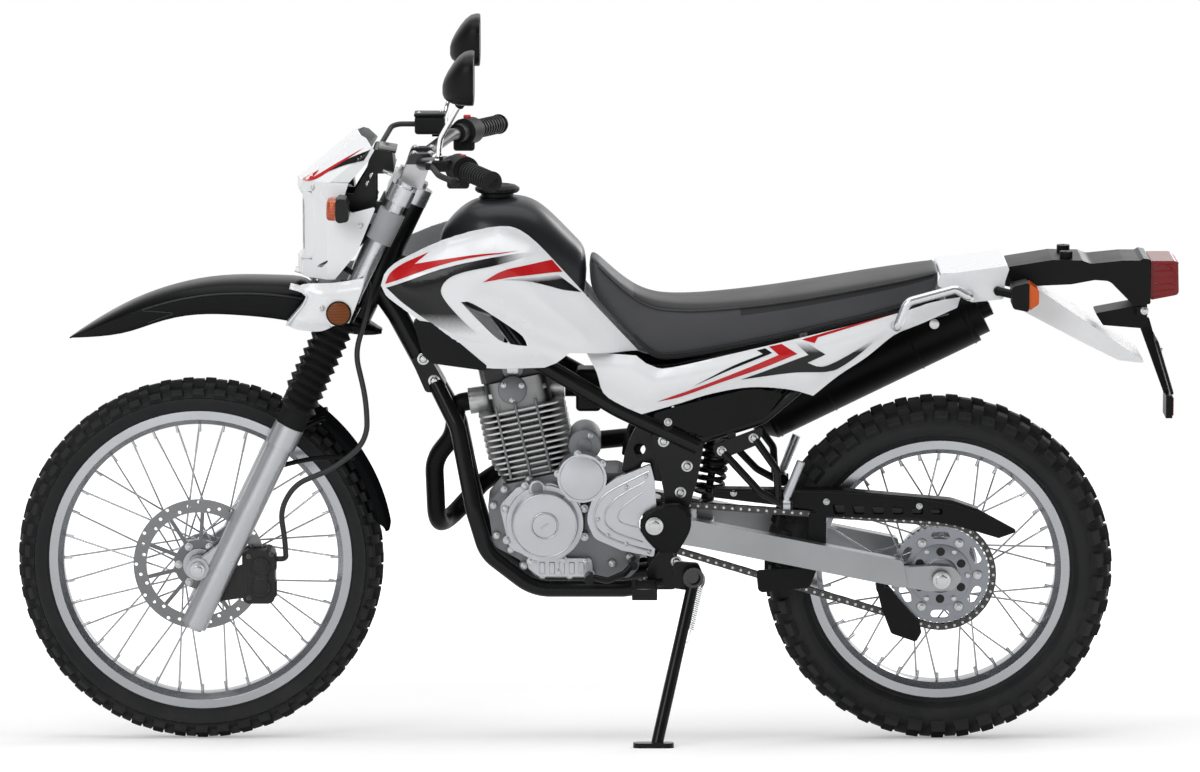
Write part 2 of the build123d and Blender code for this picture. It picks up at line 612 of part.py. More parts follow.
# ---------------------------------------------------------------- frame
def frame():
    stem = CLAMP_OFFSET
    head_low, head_high = LOWER_CLAMP[1] + 0.5, UPPER_CLAMP[0] - 0.5
    head = rod(on_fork(head_low, stem), on_fork(head_high, stem), HEAD_R)
    neck_low = on_fork(head_low + 40, stem)
    neck_high = on_fork(head_low + 75, stem)
    junction = (-248, 0, 664)
    down = tube([neck_low, (-316, 0, 792), junction], DOWN_R, [60])
    spine_end = (30, 0, 806)
    backbone = tube([neck_high, (-150, 0, 850), spine_end], 22, [120])
    spars = []
    for side in (-1, 1):
        spar = tube([(-150, side * 12, 820), (-70, side * 62, 722), (90, side * 84, 630), (236, side * (PLATE_Y + 3), 562)], SPAR_R, [90, 200])
        spars.append(spar)
    plate_rows = [(150, 585, 10), (168, 596, 6), (246, 568, 8), (234, 500, 30), (216, 440, 20), (208, 402, 10), (188, 372, 8), (200, 330, 8),
                  (196, 296, 10), (150, 296, 10), (140, 330, 10), (170, 375, 30), (180, 420, 60), (172, 480, 60)]
    plates = []
    for side in (-1, 1):
        y0, y1 = sorted((side * PLATE_Y, side * (PLATE_Y + PLATE_T)))
        plate = slab(plate_rows, y0, y1)
        plates.append(plate - cross_rod(*PIVOT, 9, y0, y1))
    cross_low = cross_rod(172, 312, 12, -PLATE_Y, PLATE_Y)
    cross_high = cross_rod(214, 560, 14, -PLATE_Y, PLATE_Y)
    rails = []
    for side in (-1, 1):
        top = tube([(-20, side * 26, 806), (62, side * 56, 738), (150, side * 60, 690), (330, side * 70, 724), (690, side * 62, 812)], RAIL_R,
                   [60, 120, 300])
        low = tube([(228, side * PLATE_Y, 572), (352, side * 92, 612), (412, side * 90, 664), (560, side * 66, 780)], RAIL_R - 1, [70, 200])
        rails += [top, low]
    bridges = [cross_rod(430, 748, 9, -70, 70), cross_rod(684, 810, 9, -62, 62), cross_rod(*SHOCK_TOP, 10, -88, 88)]
    whole = joined(head, down, backbone, *spars, *plates, cross_low, cross_high, *rails, *bridges)
    whole -= rod(on_fork(head_low - 5, stem), on_fork(head_high + 5, stem), STEM_R + 4)
    whole = joined(whole, stand_mount())
    piece("main_frame", whole)

    # bolted cradle under the engine
    loops = []
    for side in (-1, 1):
        loops.append(tube([(-246, side * 22, 668), (-205, side * 50, 590), (-176, side * 73, 440), (-152, side * 73, 360), (-66, side * 73, 293),
                           (100, side * 73, 293), (146, side * 72, 300)], CRADLE_R, [60, 90, 70, 90, 60]))
    gusset = slab([(-290, 712, 6), (-262, 728, 6), (-226, 664, 8), (-236, 650, 6), (-264, 652, 8)], -30, 30)
    cradle = joined(gusset, *loops, cross_rod(-152, 360, 9, -73, 73))
    piece("engine_cradle", cradle - tube([neck_low, (-316, 0, 792), junction], DOWN_R + FIT, [60]))


def swingarm():
    px, pz = PIVOT
    rx, rz = REAR_AXLE
    y0, y1 = ARM_Y - ARM_W / 2, ARM_Y + ARM_W / 2
    rows = [(px - 24, pz, 12), (px - 4, pz + 24, 16), (px + 80, pz + 8, 30), (rx - 70, rz + 34, 8), (rx - 60, rz - 18, 8),
            (px + 90, pz - 42, 30), (px - 4, pz - 26, 16)]
    end_rows = [(rx - 80, rz + 20, 4), (rx - 20, rz + 24, 12), (rx + 22, rz + 22, 14), (rx + 40, rz, 12), (rx + 22, rz - 22, 14),
                (rx - 20, rz - 24, 12), (rx - 80, rz - 14, 4)]
    arms = []
    for side in (-1, 1):
        ya, yb = sorted((side * y0, side * y1))
        arm = slab(rows, ya, yb)
        arm += slab(end_rows, ya + 6, yb - 6)
        arms.append(arm)
    pivot_tube = cross_rod(px, pz, 21, -(PLATE_Y - FIT), PLATE_Y - FIT)
    for side in (-1, 1):
        pivot_tube += rod((px, side * (PLATE_Y + PLATE_T + FIT), pz), (px, side * y0, pz), 21)
    pivot_tube += cross_rod(px, pz, 9 - RUN, -y1 - 6, y1 + 6)
    brace = slab([(px + 62, pz - 2, 10), (px + 112, pz - 6, 10), (px + 112, pz - 44, 10), (px + 62, pz - 40, 10)], -y0, y0)
    body = joined(*arms, pivot_tube, brace)
    for side in (-1, 1):
        ya, yb = sorted((side * (PLATE_Y - FIT), side * (PLATE_Y + PLATE_T + FIT)))
        body -= cross_rod(px, pz, 27, ya, yb) - cross_rod(px, pz, 9 - RUN, ya, yb)
    return joined(body, rear_axle(), shock_lugs())


def rear_axle():
    """Axle, its nuts and spacers, and the still plate of the drum brake."""
    rx, rz = REAR_AXLE
    end = ARM_Y + ARM_W / 2 - 6
    axle = cross_rod(rx, rz, AXLE_R - RUN, -end - 14, end + 14)
    for side in (-1, 1):
        hub_end = abs(CHAIN_Y) + SPROCKET_T / 2 + 1 if side < 0 else 51
        axle += rod((rx, side * hub_end, rz), (rx, side * (end - 4), rz), 13)
        axle += rod((rx, side * end, rz), (rx, side * (end + 9), rz), 13)
    return axle + cross_rod(rx, rz, 66, 51, 57)


SHOCK_TOP = (276.0, 586.0)
SHOCK_LOW = (252.0, 436.0)


def shock_lugs():
    x, z = SHOCK_LOW
    lugs = cross_rod(x, z, 7, -30, 30)
    for side in (-1, 1):
        ya, yb = sorted((side * 20, side * 28))
        lugs += slab([(x - 14, z + 8, 6), (x + 12, z + 12, 6), (x + 12, z - 34, 0), (x - 20, z - 34, 0)], ya, yb)
    return lugs


def shock():
    """Single shock absorber with its spring."""
    top, low = Vector(SHOCK_TOP[0], 0, SHOCK_TOP[1]), Vector(SHOCK_LOW[0], 0, SHOCK_LOW[1])
    d = (low - top).normalized()
    body = rod(tuple(top), tuple(low), 12) + cross_rod(*SHOCK_TOP, 19, -15, 15) + cross_rod(*SHOCK_LOW, 15, -18, 18)
    pitch = 15
    for i in range(7):
        a = top + d * (24 + pitch * i)
        body += rod(tuple(a), tuple(a + d * 8), 29)
    return body - cross_rod(*SHOCK_TOP, 10 + FIT, -30, 30) - cross_rod(*SHOCK_LOW, 7 + FIT, -30, 30)


# ---------------------------------------------------------------- engine
TILT = math.radians(CYL_TILT_DEG)


def on_cylinder(t, b=0.0):
    """x and z of a point t up the cylinder from the crank and b to its rear."""
    return (CRANK[0] - t * math.sin(TILT) + b * math.cos(TILT), CRANK[1] + t * math.cos(TILT) + b * math.sin(TILT))


def barrel_plane(t):
    x, z = on_cylinder(t)
    return Plane(origin=(x, 0, z), x_dir=(math.cos(TILT), 0, math.sin(TILT)), z_dir=(-math.sin(TILT), 0, math.cos(TILT)))


CYL_BASE, HEAD_BASE = 78.0, 192.0
STARTER = (28.0, 560.0)
STARTER_R = 30.0
FIN_PITCH = 11.4


def engine():
    case_rows = [(-150, 450, 14), (-118, 486, 14), (-30, 506, 20), (90, 508, 20), (160, 470, 20), (128, 430, 10), (128, 330, 20), (110, 312, 12),
                 (-60, 312, 20), (-92, 346, 20), (-140, 372, 20)]
    case = slab(case_rows, -66, 66)
    case += cross_rod(*CRANK, 66, -78, 78)
    piece("crankcase", case, cross_rod(*STARTER, STARTER_R, -66, 36))

    barrel = extrude(barrel_plane(CYL_BASE - 12) * RectangleRounded(110, 104, 30), HEAD_BASE - CYL_BASE + 30)
    barrel -= case + Pos(0, 0, FIT) * case
    fins = []
    count = int((HEAD_BASE + 34 - CYL_BASE) / FIN_PITCH)
    for i in range(count):
        t = CYL_BASE + 6 + i * FIN_PITCH
        grow = min(1.0, 0.8 + 0.05 * i)
        fins.append(extrude(barrel_plane(t) * RectangleRounded(158 * grow, 150 * grow, 24), 3.4))
    head = extrude(barrel_plane(HEAD_BASE + 12) * RectangleRounded(118, 112, 26), 62)
    head += extrude(barrel_plane(HEAD_BASE + 74) * RectangleRounded(126, 88, 18), 26)
    port = on_cylinder(HEAD_BASE + 40, -50)
    head += rod((port[0], 0, port[1]), (port[0] - 42, 0, port[1] - 6), 24)
    intake = on_cylinder(HEAD_BASE + 40, 50)
    head += rod((intake[0], 0, intake[1]), (intake[0] + 34, 0, intake[1] + 2), 22)
    piece("cylinder", joined(barrel, *fins, head) - cross_rod(*STARTER, STARTER_R + 2, -70, 40))

    cover = Pos(CRANK[0], -66, CRANK[1]) * Rot(90, 0, 0) * extrude(Circle(74), 34, taper=6)
    cover += Pos(CRANK[0], -99, CRANK[1]) * Rot(90, 0, 0) * extrude(Circle(62), 22, taper=12)
    cover += cross_rod(*CRANK, 22, -123, -110)
    shoulder = slab([(-128, 452, 20), (-96, 486, 10), (-30, 494, 20), (20, 462, 20), (20, 380, 20), (-60, 350, 20), (-110, 372, 20)], -92, -66)
    idler = slab([(-26, 514, 30), (22, 556, 30), (72, 514, 30), (62, 470, 20), (-14, 470, 20)], -92, -66)
    idler += cross_rod(23, 506, 45, -112, -66)
    sump = slab([(-76, 352, 8), (-20, 352, 4), (40, 352, 6), (44, 318, 8), (-56, 318, 14), (-76, 334, 8)], -84, -66)
    left = joined(cover, shoulder, idler, sump) - cross_rod(*CRANK, 66, -78.2, -60)
    clutch = cross_rod(10, 404, 74, 66, 118) + cross_rod(10, 404, 60, 118, 130)
    primary = slab([(-120, 452, 30), (-60, 490, 20), (60, 470, 30), (100, 420, 30), (70, 340, 30), (-20, 318, 20), (-110, 370, 30)], 66, 96)
    filter_cap = cross_rod(-92, 448, 28, 90, 112)
    right = joined(clutch, primary, filter_cap) - cross_rod(*CRANK, 66, 60, 78.2)
    covers = [left, right]

    guard_rows = [(30, 428, 40), (44, 476, 16), (84, 506, 20), (148, 532, 4), (156, 500, 4), (159, 452, 4), (140, 442, 12), (134, 420, 14),
                  (142, 400, 12), (160, 392, 4), (154, 360, 4), (96, 372, 20), (46, 394, 24)]
    guard = slab(guard_rows, -112, -98)
    posts = [cross_rod(54, 400, 6, -98, -66), cross_rod(96, 490, 7, -98, -66)]
    guard = joined(guard, *posts)
    for solid in [case, left]:
        guard -= solid
    guard -= cross_rod(PIVOT[0], PIVOT[1], 28, -150, -60)
    piece("engine_covers", covers, guard)

    ix, iz = intake[0] + 36, intake[1] + 2
    carb = cross_like(ix, iz, 20, 26) + block(ix + 20, ix + 66, -30, 30, iz - 44, iz + 34, 8)
    carb += rod((ix + 66, 0, iz + 2), (ix + 90, 0, iz + 6), 24)
    box = block(ix + 86, 240, -44, 44, 626, 692, 12)
    piece("intake", carb + box)


def cross_like(x, z, radius, length):
    return rod((x, 0, z), (x + length, 0, z), radius)


def exhaust():
    port = on_cylinder(HEAD_BASE + 40, -50)
    start = (port[0] - 42.8, 0, port[1] - 6)
    pipe = tube([start, (start[0] - 22, 0, start[2] - 4), (-214, 0, 566), (-250, 8, 520), (-246, 36, 396), (-226, 106, 388), (-162, 126, 456),
                 (-60, 136, 522), (180, 142, 545), (352, MUFFLER_Y, 575)], 17, [20, 60, 70, 44, 44, 60, 90, 200])
    a, b = Vector(366, MUFFLER_Y, 582), Vector(742, MUFFLER_Y, 766)
    d = (b - a).normalized()
    can = rod(tuple(a), tuple(b), MUFFLER_R) + rod(tuple(b), tuple(b + d * 22), 46) + rod(tuple(b + d * 22), tuple(b + d * 42), 20)
    cone = extrude(Plane(origin=tuple(a), z_dir=tuple(-d)) * Circle(MUFFLER_R), 34, taper=38)
    piece("exhaust", joined(pipe, can, cone))


# ---------------------------------------------------------------- bodywork
def bodywork():
    tank = lofted([(-238, 852, 948, 34, 16), (-190, 800, 1003, 78, 30), (-150, 790, 1013, 92, 34), (-80, 790, 1013, 94, 34),
                   (-40, 800, 990, 88, 30), (33, 826, 914, 58, 24)])
    cap = Pos(-132, 0, 1010) * Cylinder(28, 12, align=(Align.CENTER, Align.CENTER, Align.MIN))
    cap += Pos(-132, 0, 1022) * Cylinder(40, 12, align=(Align.CENTER, Align.CENTER, Align.MIN))
    tunnel = slab([(-260, 780, 0), (-260, 905, 0), (-150, 880, 0), (60, 836, 0), (60, 780, 0)], -46, 46)
    piece("fuel_tank", joined(tank, cap) - tunnel)

    shroud_rows = [(-341, 866, 14), (-318, 908, 40), (-240, 942, 90), (-125, 976, 90), (-60, 944, 60), (126, 736, 3), (0, 742, 3), (-24, 724, 6),
                   (-40, 716, 10), (-140, 716, 30), (-228, 774, 60), (-330, 846, 20)]
    shroud = slab(shroud_rows, -260, 0) & band(SHROUD_CURVE, 700, 1000)
    shroud -= slab([(-198, 840, 6), (-178, 838, 8), (-78, 772, 8), (-76, 757, 4), (-120, 764, 20)], -260, 0)
    shroud += cross_rod(-120, 890, 9, 2 - curve_y(SHROUD_CURVE, -120), -93.6)
    piece("tank_shrouds", both(shroud))
    inner_rows = [(-284, 806, 6), (-240, 800, 10), (-150, 722, 4), (-150, 712, 4), (-250, 726, 14), (-266, 742, 10)]
    scoop = slab(inner_rows, -260, 0) & band([(x, y - 4 - FIT) for x, y in SHROUD_CURVE], 700, 1000, 28)

    seat = lofted([(40, 838, 904, 56, 18), (92, 792, 856, 66, 18), (150, 716, 829, 76, 22), (230, 722, 823, 92, 24), (400, 762, 840, 108, 24),
                   (560, 800, 867, 104, 22), (673.5, 848, 884, 80, 14)])
    piece("seat", seat)

    cover_rows = [(30, 738, 3), (122, 732, 10), (158, 709, 14), (300, 738, 200), (600, 812, 40), (650, 830, 20), (712, 838, 6), (708, 818, 6),
                  (618, 782, 8), (582, 764, 6), (480, 690, 10), (444, 660, 4), (330, 676, 120), (200, 645, 60), (132, 624, 8), (60, 662, 8),
                  (52, 700, 20)]
    cover = slab(cover_rows, -260, 0) & band(COVER_CURVE, 600, 860)
    cover += cross_rod(180, 697, 8, 2 - curve_y(COVER_CURVE, 180), -73.4)
    piece("side_covers", both(cover))
    panel_rows = [(142, 622, 6), (200, 640, 30), (330, 671, 80), (392, 664, 6), (356, 616, 10), (246, 582, 6)]
    panel = slab(panel_rows, -108, -103) + cross_rod(180, 602, 9, -104, -80) - PIECES["main_frame"][0]
    piece("dark_panels", both(scoop), both(panel))


SHROUD_CURVE = [(-350, 151), (-190, 159), (150, 100)]
COVER_CURVE = [(0, 96), (330, 124), (760, 92)]


def curve_y(rows, x):
    """Half width at x of the arc through three plan points."""
    (xa, ya), (xb, yb), (xc, yc) = rows
    d = 2 * (xa * (yb - yc) + xb * (yc - ya) + xc * (ya - yb))
    sa, sb, sc = xa * xa + ya * ya, xb * xb + yb * yb, xc * xc + yc * yc
    cx = (sa * (yb - yc) + sb * (yc - ya) + sc * (ya - yb)) / d
    cy = (sa * (xc - xb) + sb * (xa - xc) + sc * (xb - xa)) / d
    return cy + math.sqrt((xa - cx) ** 2 + (ya - cy) ** 2 - (x - cx) ** 2)


def band(rows, z_low, z_high, wall=4.0):
    """A curved upright wall on the left, through three plan points (x, half width)."""
    (xa, ya), (xb, yb), (xc, yc) = rows
    outer = ThreePointArc((xa, -ya, z_low), (xb, -yb, z_low), (xc, -yc, z_low))
    inner = ThreePointArc((xa, -ya + wall, z_low), (xb, -yb + wall, z_low), (xc, -yc + wall, z_low))
    ends = [Line(outer @ 0, inner @ 0), Line(outer @ 1, inner @ 1)]
    face = make_face([outer.edge(), inner.edge()] + [e.edge() for e in ends])
    return extrude(face, z_high - z_low, dir=(0, 0, 1))


def tail():
    cover_rows = [(676, 884, 6), (700, 884, 20), (802, 898, 6), (792, 868, 10), (790, 836, 6), (732, 830, 8), (712, 846, 10), (668, 860, 6)]
    cover = slab(cover_rows, -104, 104)
    core = slab([(660, 876, 0), (810, 892, 0), (810, 780, 0), (660, 780, 0)], -100, 100)
    cover = cover - core
    unit_rows = [(786, 888, 4), (880, 903, 10), (935, 902, 6), (950, 896, 20), (1010, 902, 20), (1040, 902, 4), (1046, 906, 2), (1058, 904, 2),
                 (1060, 822, 4), (1030, 818, 8), (985, 864, 20), (958, 866, 20), (915, 858, 20), (850, 855, 20), (812, 858, 10)]
    unit = slab(unit_rows, -70, 70)
    plate_hold = slab([(962, 800, 3), (1036, 814, 4), (1054, 822, 2), (1056, 800, 4), (1058, 780, 4), (1050, 772, 4), (976, 778, 4)], -40, 40)
    post = slab([(1036, 812, 0), (1054, 824, 0), (1056, 800, 0), (1036, 796, 0)], -60, 60)
    stay = slab([(1044, 776, 3), (1062, 790, 4), (1104, 646, 4), (1092, 646, 4)], -6, 6)
    plate = Plane(origin=(1083, 0, 706), x_dir=(0, 1, 0), z_dir=(math.cos(math.radians(17)), 0, math.sin(math.radians(17))))
    licence = extrude(plate * RectangleRounded(180, 105, 6), 5)
    reflector = block(1094, 1106, -34, 34, 604, 646)
    unit = joined(unit, plate_hold, post, stay, reflector, licence)
    bosses = []
    for side in (-1, 1):
        boss = rod((RACK_X, side * RACK_Y, RACK_Z - RACK_DEPTH), (RACK_X, side * RACK_Y, RACK_Z), 12)
        bosses.append(boss - unit - rod((RACK_X, side * RACK_Y, RACK_Z - RACK_DEPTH - 5), (RACK_X, side * RACK_Y, RACK_Z + 5), RACK_R))
    blade_rows = [(812, 857, 6), (850, 854, 20), (1056, 714, 3), (1002, 720, 20), (930, 756, 60), (824, 812, 20)]
    blade = slab(blade_rows, -82, 82)
    hollow = slab([(790, 838, 0), (852, 842, 20), (1050, 712, 0), (1000, 700, 0), (800, 700, 0)], -78, 78)
    piece("tail_covers", cover, blade - hollow)
    lamp = slab([(1060.3, 900, 3), (1110, 900, 8), (1112, 838, 8), (1060.3, 828, 3)], -62, 62)
    bodies, lenses = [], []
    for side in (-1, 1):
        ya, yb = sorted((side * 112, side * 168))
        body = slab([(800, 868, 8), (832, 876, 4), (832, 822, 4), (802, 828, 8)], ya, yb)
        body += cross_rod(779, 852, 8, min(side * 104.4, side * 116), max(side * 104.4, side * 116))
        body += rod((779, side * 112, 852), (810, side * 134, 848), 8)
        bodies.append(body)
        lenses.append(slab([(832.2, 874, 2), (850, 862, 8), (850, 836, 8), (832.2, 824, 2)], ya + 2, yb - 2))
    piece("tail_unit", unit, bosses, bodies)
    piece("rear_lenses", lamp, lenses)
    seat_y = curve_y(COVER_CURVE, 592) + 0.8
    bars_left = tube([(592, -seat_y, 790), (594, -150, 790), (612, -152, 838), (700, -150, 862), (726, -148, 846), (726, -104.8, 846)], 8,
                     [10, 22, 14, 12])
    piece("grab_bars", both(bars_left))


# ---------------------------------------------------------------- rear end and fittings
def chain():
    """Drive chain: one closed loop round both sprockets, drawn as its side-view outline."""
    x0, z0 = COUNTERSHAFT
    x1, z1 = REAR_AXLE
    outer = belt(x0, z0, CHAIN_PITCH_R_FRONT + CHAIN_H / 2, x1, z1, CHAIN_PITCH_R_REAR + CHAIN_H / 2)
    inner = belt(x0, z0, CHAIN_PITCH_R_FRONT - CHAIN_H / 2, x1, z1, CHAIN_PITCH_R_REAR - CHAIN_H / 2)
    face = outer - inner
    loop = extrude(Pos(0, CHAIN_Y - CHAIN_W / 2, 0) * face, CHAIN_W, dir=(0, 1, 0))
    groove_r = CHAIN_PITCH_R_REAR - ROLLER_R
    groove = at(Rot(90, 0, 0) * extrude(Circle(groove_r), SPROCKET_T / 2 + 0.8, both=True), x1, z1, CHAIN_Y)
    front = cross_rod(x0, z0, CHAIN_PITCH_R_FRONT - CHAIN_H / 2 - 1, CHAIN_Y - 4, CHAIN_Y + 4)
    front += cross_rod(x0, z0, 12, CHAIN_Y + 4, -66.3)
    return loop - groove, front


def belt(x0, z0, r0, x1, z1, r1):
    """The face inside a belt round two circles in the side view."""
    gap = math.hypot(x1 - x0, z1 - z0)
    lean = math.atan2(z1 - z0, x1 - x0)
    open_a = math.acos((r0 - r1) / gap)
    hull = []
    for sign in (1, -1):
        a = lean + sign * open_a
        hull.append(((x0 + r0 * math.cos(a), 0, z0 + r0 * math.sin(a)), (x1 + r1 * math.cos(a), 0, z1 + r1 * math.sin(a))))
    (a0, a1), (b0, b1) = hull
    front = (x0 - r0 * math.cos(lean), 0, z0 - r0 * math.sin(lean))
    rear = (x1 + r1 * math.cos(lean), 0, z1 + r1 * math.sin(lean))
    edges = [Line(a0, a1).edge(), ThreePointArc(a1, rear, b1).edge(), Line(b1, b0).edge(), ThreePointArc(b0, front, a0).edge()]
    return make_face(edges)


def rear_end():
    piece("swingarm", swingarm())
    piece("chain", *chain())

    guard_rows = [(262, 484, 6), (500, 481, 60), (700, 463, 60), (748, 446, 10), (822, 405, 4), (786, 392, 4), (712, 414, 40), (630, 430, 20),
                  (470, 432, 20), (440, 446, 10), (262, 468, 6)]
    guard = slab(guard_rows, -96.5, -92)
    top = slab([(262, 484, 0), (500, 481, 60), (700, 463, 60), (748, 446, 0), (742, 441, 0), (698, 458, 60), (500, 476, 60), (262, 479, 0)],
               -96.5, -66)
    for i in range(6):
        x = 480 + 36 * i
        guard -= slab([(x, 456 - i * 1.5, 4), (x + 22, 454 - i * 1.5, 4), (x + 24, 436, 4), (x + 5, 436, 4)], -100, -80)
    mount = slab([(438, 440, 4), (470, 440, 4), (470, 380, 4), (438, 388, 4)], -96.5, -92)
    guide_rows = [(562, 303, 4), (584, 300, 6), (642, 236, 8), (646, 216, 6), (636, 198, 6), (590, 214, 10), (572, 262, 10)]
    guide = slab(guide_rows, -96.5, -92) + slab(guide_rows, -69, -64)
    guide += slab([(561, 303, 2), (580, 301, 2), (580, 292, 2), (563, 293, 2)], -96.5, -64)
    guide += slab([(560, 322, 2), (578, 322, 2), (578, 292, 2), (563, 293, 2)], -100, -90) - PIECES["swingarm"][0]
    slider = slab([(342, 332, 6), (455, 338, 6), (440, 300, 10), (346, 290, 10)], -96.5, -92)
    piece("chain_guards", joined(guard, top, mount), guide, slider)
    piece("shock", shock())


STAND_PIVOT = (228.0, -(PLATE_Y + PLATE_T + 30), 322.0)
STAND_OUT = 0.34            # how far the lowered leg splays, per unit of its length
STAND_FORE = 0.22
STAND_R = 11.0


def ground_height():
    """Height of the floor in the leaned frame, where the tyres' lowest points touch."""
    lows = []
    for radius, width, rim_r, rim_w in ((FRONT_R, FRONT_W, FRONT_RIM_R, FRONT_RIM_W), (REAR_R, REAR_W, REAR_RIM_R, REAR_RIM_W)):
        reach = max(r * math.cos(LEAN) + y * math.sin(LEAN) for r, y in tyre_section(radius, width, rim_r, rim_w))
        lows.append(radius * math.cos(LEAN) - reach)
    return min(lows)


def side_stand():
    """A leg with its foot flat on the floor, and its return spring along it."""
    down = -math.sqrt(1 - STAND_OUT ** 2 - STAND_FORE ** 2)
    leg = Vector(-STAND_FORE, -STAND_OUT, down)
    pivot = Vector(*STAND_PIVOT)
    floor_up = Vector(0, math.sin(LEAN), math.cos(LEAN))
    sole = 9.0
    length = (pivot.dot(floor_up) - ground_height() - sole / 2) / -leg.dot(floor_up)
    foot_at = pivot + leg * length
    foot_plane = Plane(origin=tuple(foot_at - floor_up * (sole / 2)), x_dir=(1, 0, 0), z_dir=tuple(floor_up))
    foot = extrude(foot_plane * Pos(-6, -6) * RectangleRounded(74, 46, 14), sole)
    axis = hinge_axis()
    eye = extrude(Plane(origin=tuple(pivot - axis * 8), z_dir=tuple(axis)) * Circle(19), 16)
    shin = rod(tuple(pivot + leg * 10), tuple(foot_at), STAND_R)
    shin -= extrude(Plane(origin=tuple(pivot + axis * 8), z_dir=tuple(axis)) * Circle(19), 30)
    shin -= extrude(Plane(origin=tuple(pivot - axis * 8), z_dir=tuple(axis)) * Circle(19), -30)
    stand = joined(eye, shin, foot)
    floor = Plane(origin=tuple(floor_up * ground_height()), z_dir=tuple(floor_up))
    stand -= extrude(floor * Rectangle(4000, 4000), -100)
    stand -= extrude(Plane(origin=tuple(pivot - axis * 30), z_dir=tuple(axis)) * Circle(7 + RUN), 60)
    return stand


def hinge_axis():
    """The stand's pivot axis: square to the lowered leg and to the leg when it is folded back."""
    down = -math.sqrt(1 - STAND_OUT ** 2 - STAND_FORE ** 2)
    lowered = Vector(-STAND_FORE, -STAND_OUT, down)
    folded = Vector(0.955, -0.14, 0.25).normalized()
    return folded.cross(lowered).normalized()


def stand_mount():
    """Bracket and pin on the frame for the side stand."""
    pivot, axis = Vector(*STAND_PIVOT), hinge_axis()
    pin = rod(tuple(pivot - axis * 14), tuple(pivot + axis * 22), 7)
    head = rod(tuple(pivot - axis * 15), tuple(pivot - axis * 8.6), 12)
    plate = slab([(190, 350, 8), (236, 346, 8), (250, 312, 12), (232, 294, 10), (188, 300, 6)], -(PLATE_Y + PLATE_T + 8), -(PLATE_Y + PLATE_T - 3))
    arm = rod(tuple(pivot + axis * 8.6), tuple(pivot + axis * 32), 13)
    return joined(plate, arm, pin, head)


PEG_AT = (137.0, 306.0)
REAR_PEG_AT = (396.0, 462.0)
REAR_PEG_Y = 134.0


PEG_PIN_R = 4.0
PEG_EYE_R = 9.5
PEG_EYE_HALF = 6.5


def peg_clevis(side):
    """Two ears with a fore-and-aft pin that a passenger peg folds on."""
    x, z = REAR_PEG_AT
    y = side * (REAR_PEG_Y + 3)
    clevis = rod((x - 11, y, z), (x + 11, y, z), PEG_PIN_R - RUN)
    for fore in (-1, 1):
        xa, xb = sorted((x + fore * (PEG_EYE_HALF + 0.7), x + fore * 11))
        clevis += rod((xa, y, z), (xb, y, z), PEG_EYE_R - 0.5)
        clevis += block(xa, xb, min(y, side * (REAR_PEG_Y - 12)), max(y, side * (REAR_PEG_Y - 12)), z - 9, z + 9)
    return clevis


def folding_peg(side):
    """A passenger peg, folded up."""
    x, z = REAR_PEG_AT
    y = side * (REAR_PEG_Y + 3)
    eye = rod((x - PEG_EYE_HALF, y, z), (x + PEG_EYE_HALF, y, z), PEG_EYE_R)
    neck = rod((x, y, z), (x, y, z + 20), 6)
    bar = rod((x + 1, y, z + 17), (x + 26, y, z + 80), 8)
    return joined(eye, neck, bar) - rod((x - 20, y, z), (x + 20, y, z), PEG_PIN_R)


def fittings():
    """Foot pegs, foot controls, passenger peg hangers and the stand."""
    x, z = PEG_AT
    pegs = []
    for side in (-1, 1):
        ya, yb = sorted((side * (PLATE_Y + PLATE_T + 18), side * 205))
        tread = Pos(x, (ya + yb) / 2, z + 2) * Box(46, yb - ya, 20)
        tread -= Pos(x, (ya + yb) / 2, z + 2) * Box(34, yb - ya - 14, 40)
        root = rod((x, side * (PLATE_Y + PLATE_T + FIT), z), (x, side * (PLATE_Y + PLATE_T + 22), z), 13)
        root += rod((x, side * (PLATE_Y + PLATE_T + 10), z), (x + 34, side * (PLATE_Y + PLATE_T + 6), z + 4), 6)
        pegs.append(joined(tread, root))
    shift = tube([(116, -104, 344), (100, -118, 330), (70, -122, 318), (36, -124, 326)], 6, [8, 12])
    shift += rod((36, -118, 326), (36, -158, 326), 9) + rod((116, -112, 344), (116, -66.4, 344), 9)
    brake = tube([(150, PLATE_Y + PLATE_T + 8, 348), (104, 108, 330), (20, 126, 318), (-18, 128, 330)], 6.5, [10, 20])
    brake += rod((-18, 122, 330), (-18, 166, 330), 9) + rod((150, PLATE_Y + PLATE_T + FIT, 348), (150, PLATE_Y + PLATE_T + 16, 348), 12)
    piece("foot_controls", pegs, shift, brake)
    hanger = []
    for side in (-1, 1):
        y = side * (REAR_PEG_Y - 16)
        top_a, top_b = (282, side * 104, 552), (340, side * 104, 576)
        a = tube([top_a, (348, y, 482), (388, y, 460)], 7, [30])
        b = tube([top_b, (378, y, 524), (382, y, 466)], 7, [20])
        lug = cross_rod(*REAR_PEG_AT, 11, min(y - 8, y + 8), max(y - 8, y + 8))
        hanger.append(joined(a, b, lug, peg_clevis(side)))
        strut = slab([(262, 566, 3), (352, 600, 3), (352, 586, 3), (340, 566, 3), (282, 542, 3), (266, 546, 3)], min(side * 98, side * 106),
                     max(side * 98, side * 106))
        boss = cross_rod(296, 584, 8, min(side * 80, side * 99), max(side * 80, side * 99)) - PIECES["main_frame"][0]
        hanger[-1] += strut + boss
    piece("peg_hangers", hanger)
    for side, name in ((-1, "passenger_peg_left"), (1, "passenger_peg_right")):
        piece(name, folding_peg(side))
    piece("side_stand", side_stand())


# ---------------------------------------------------------------- placing and writing
def leaned(shape):
    return Rot(LEAN_DEG, 0, 0) * shape


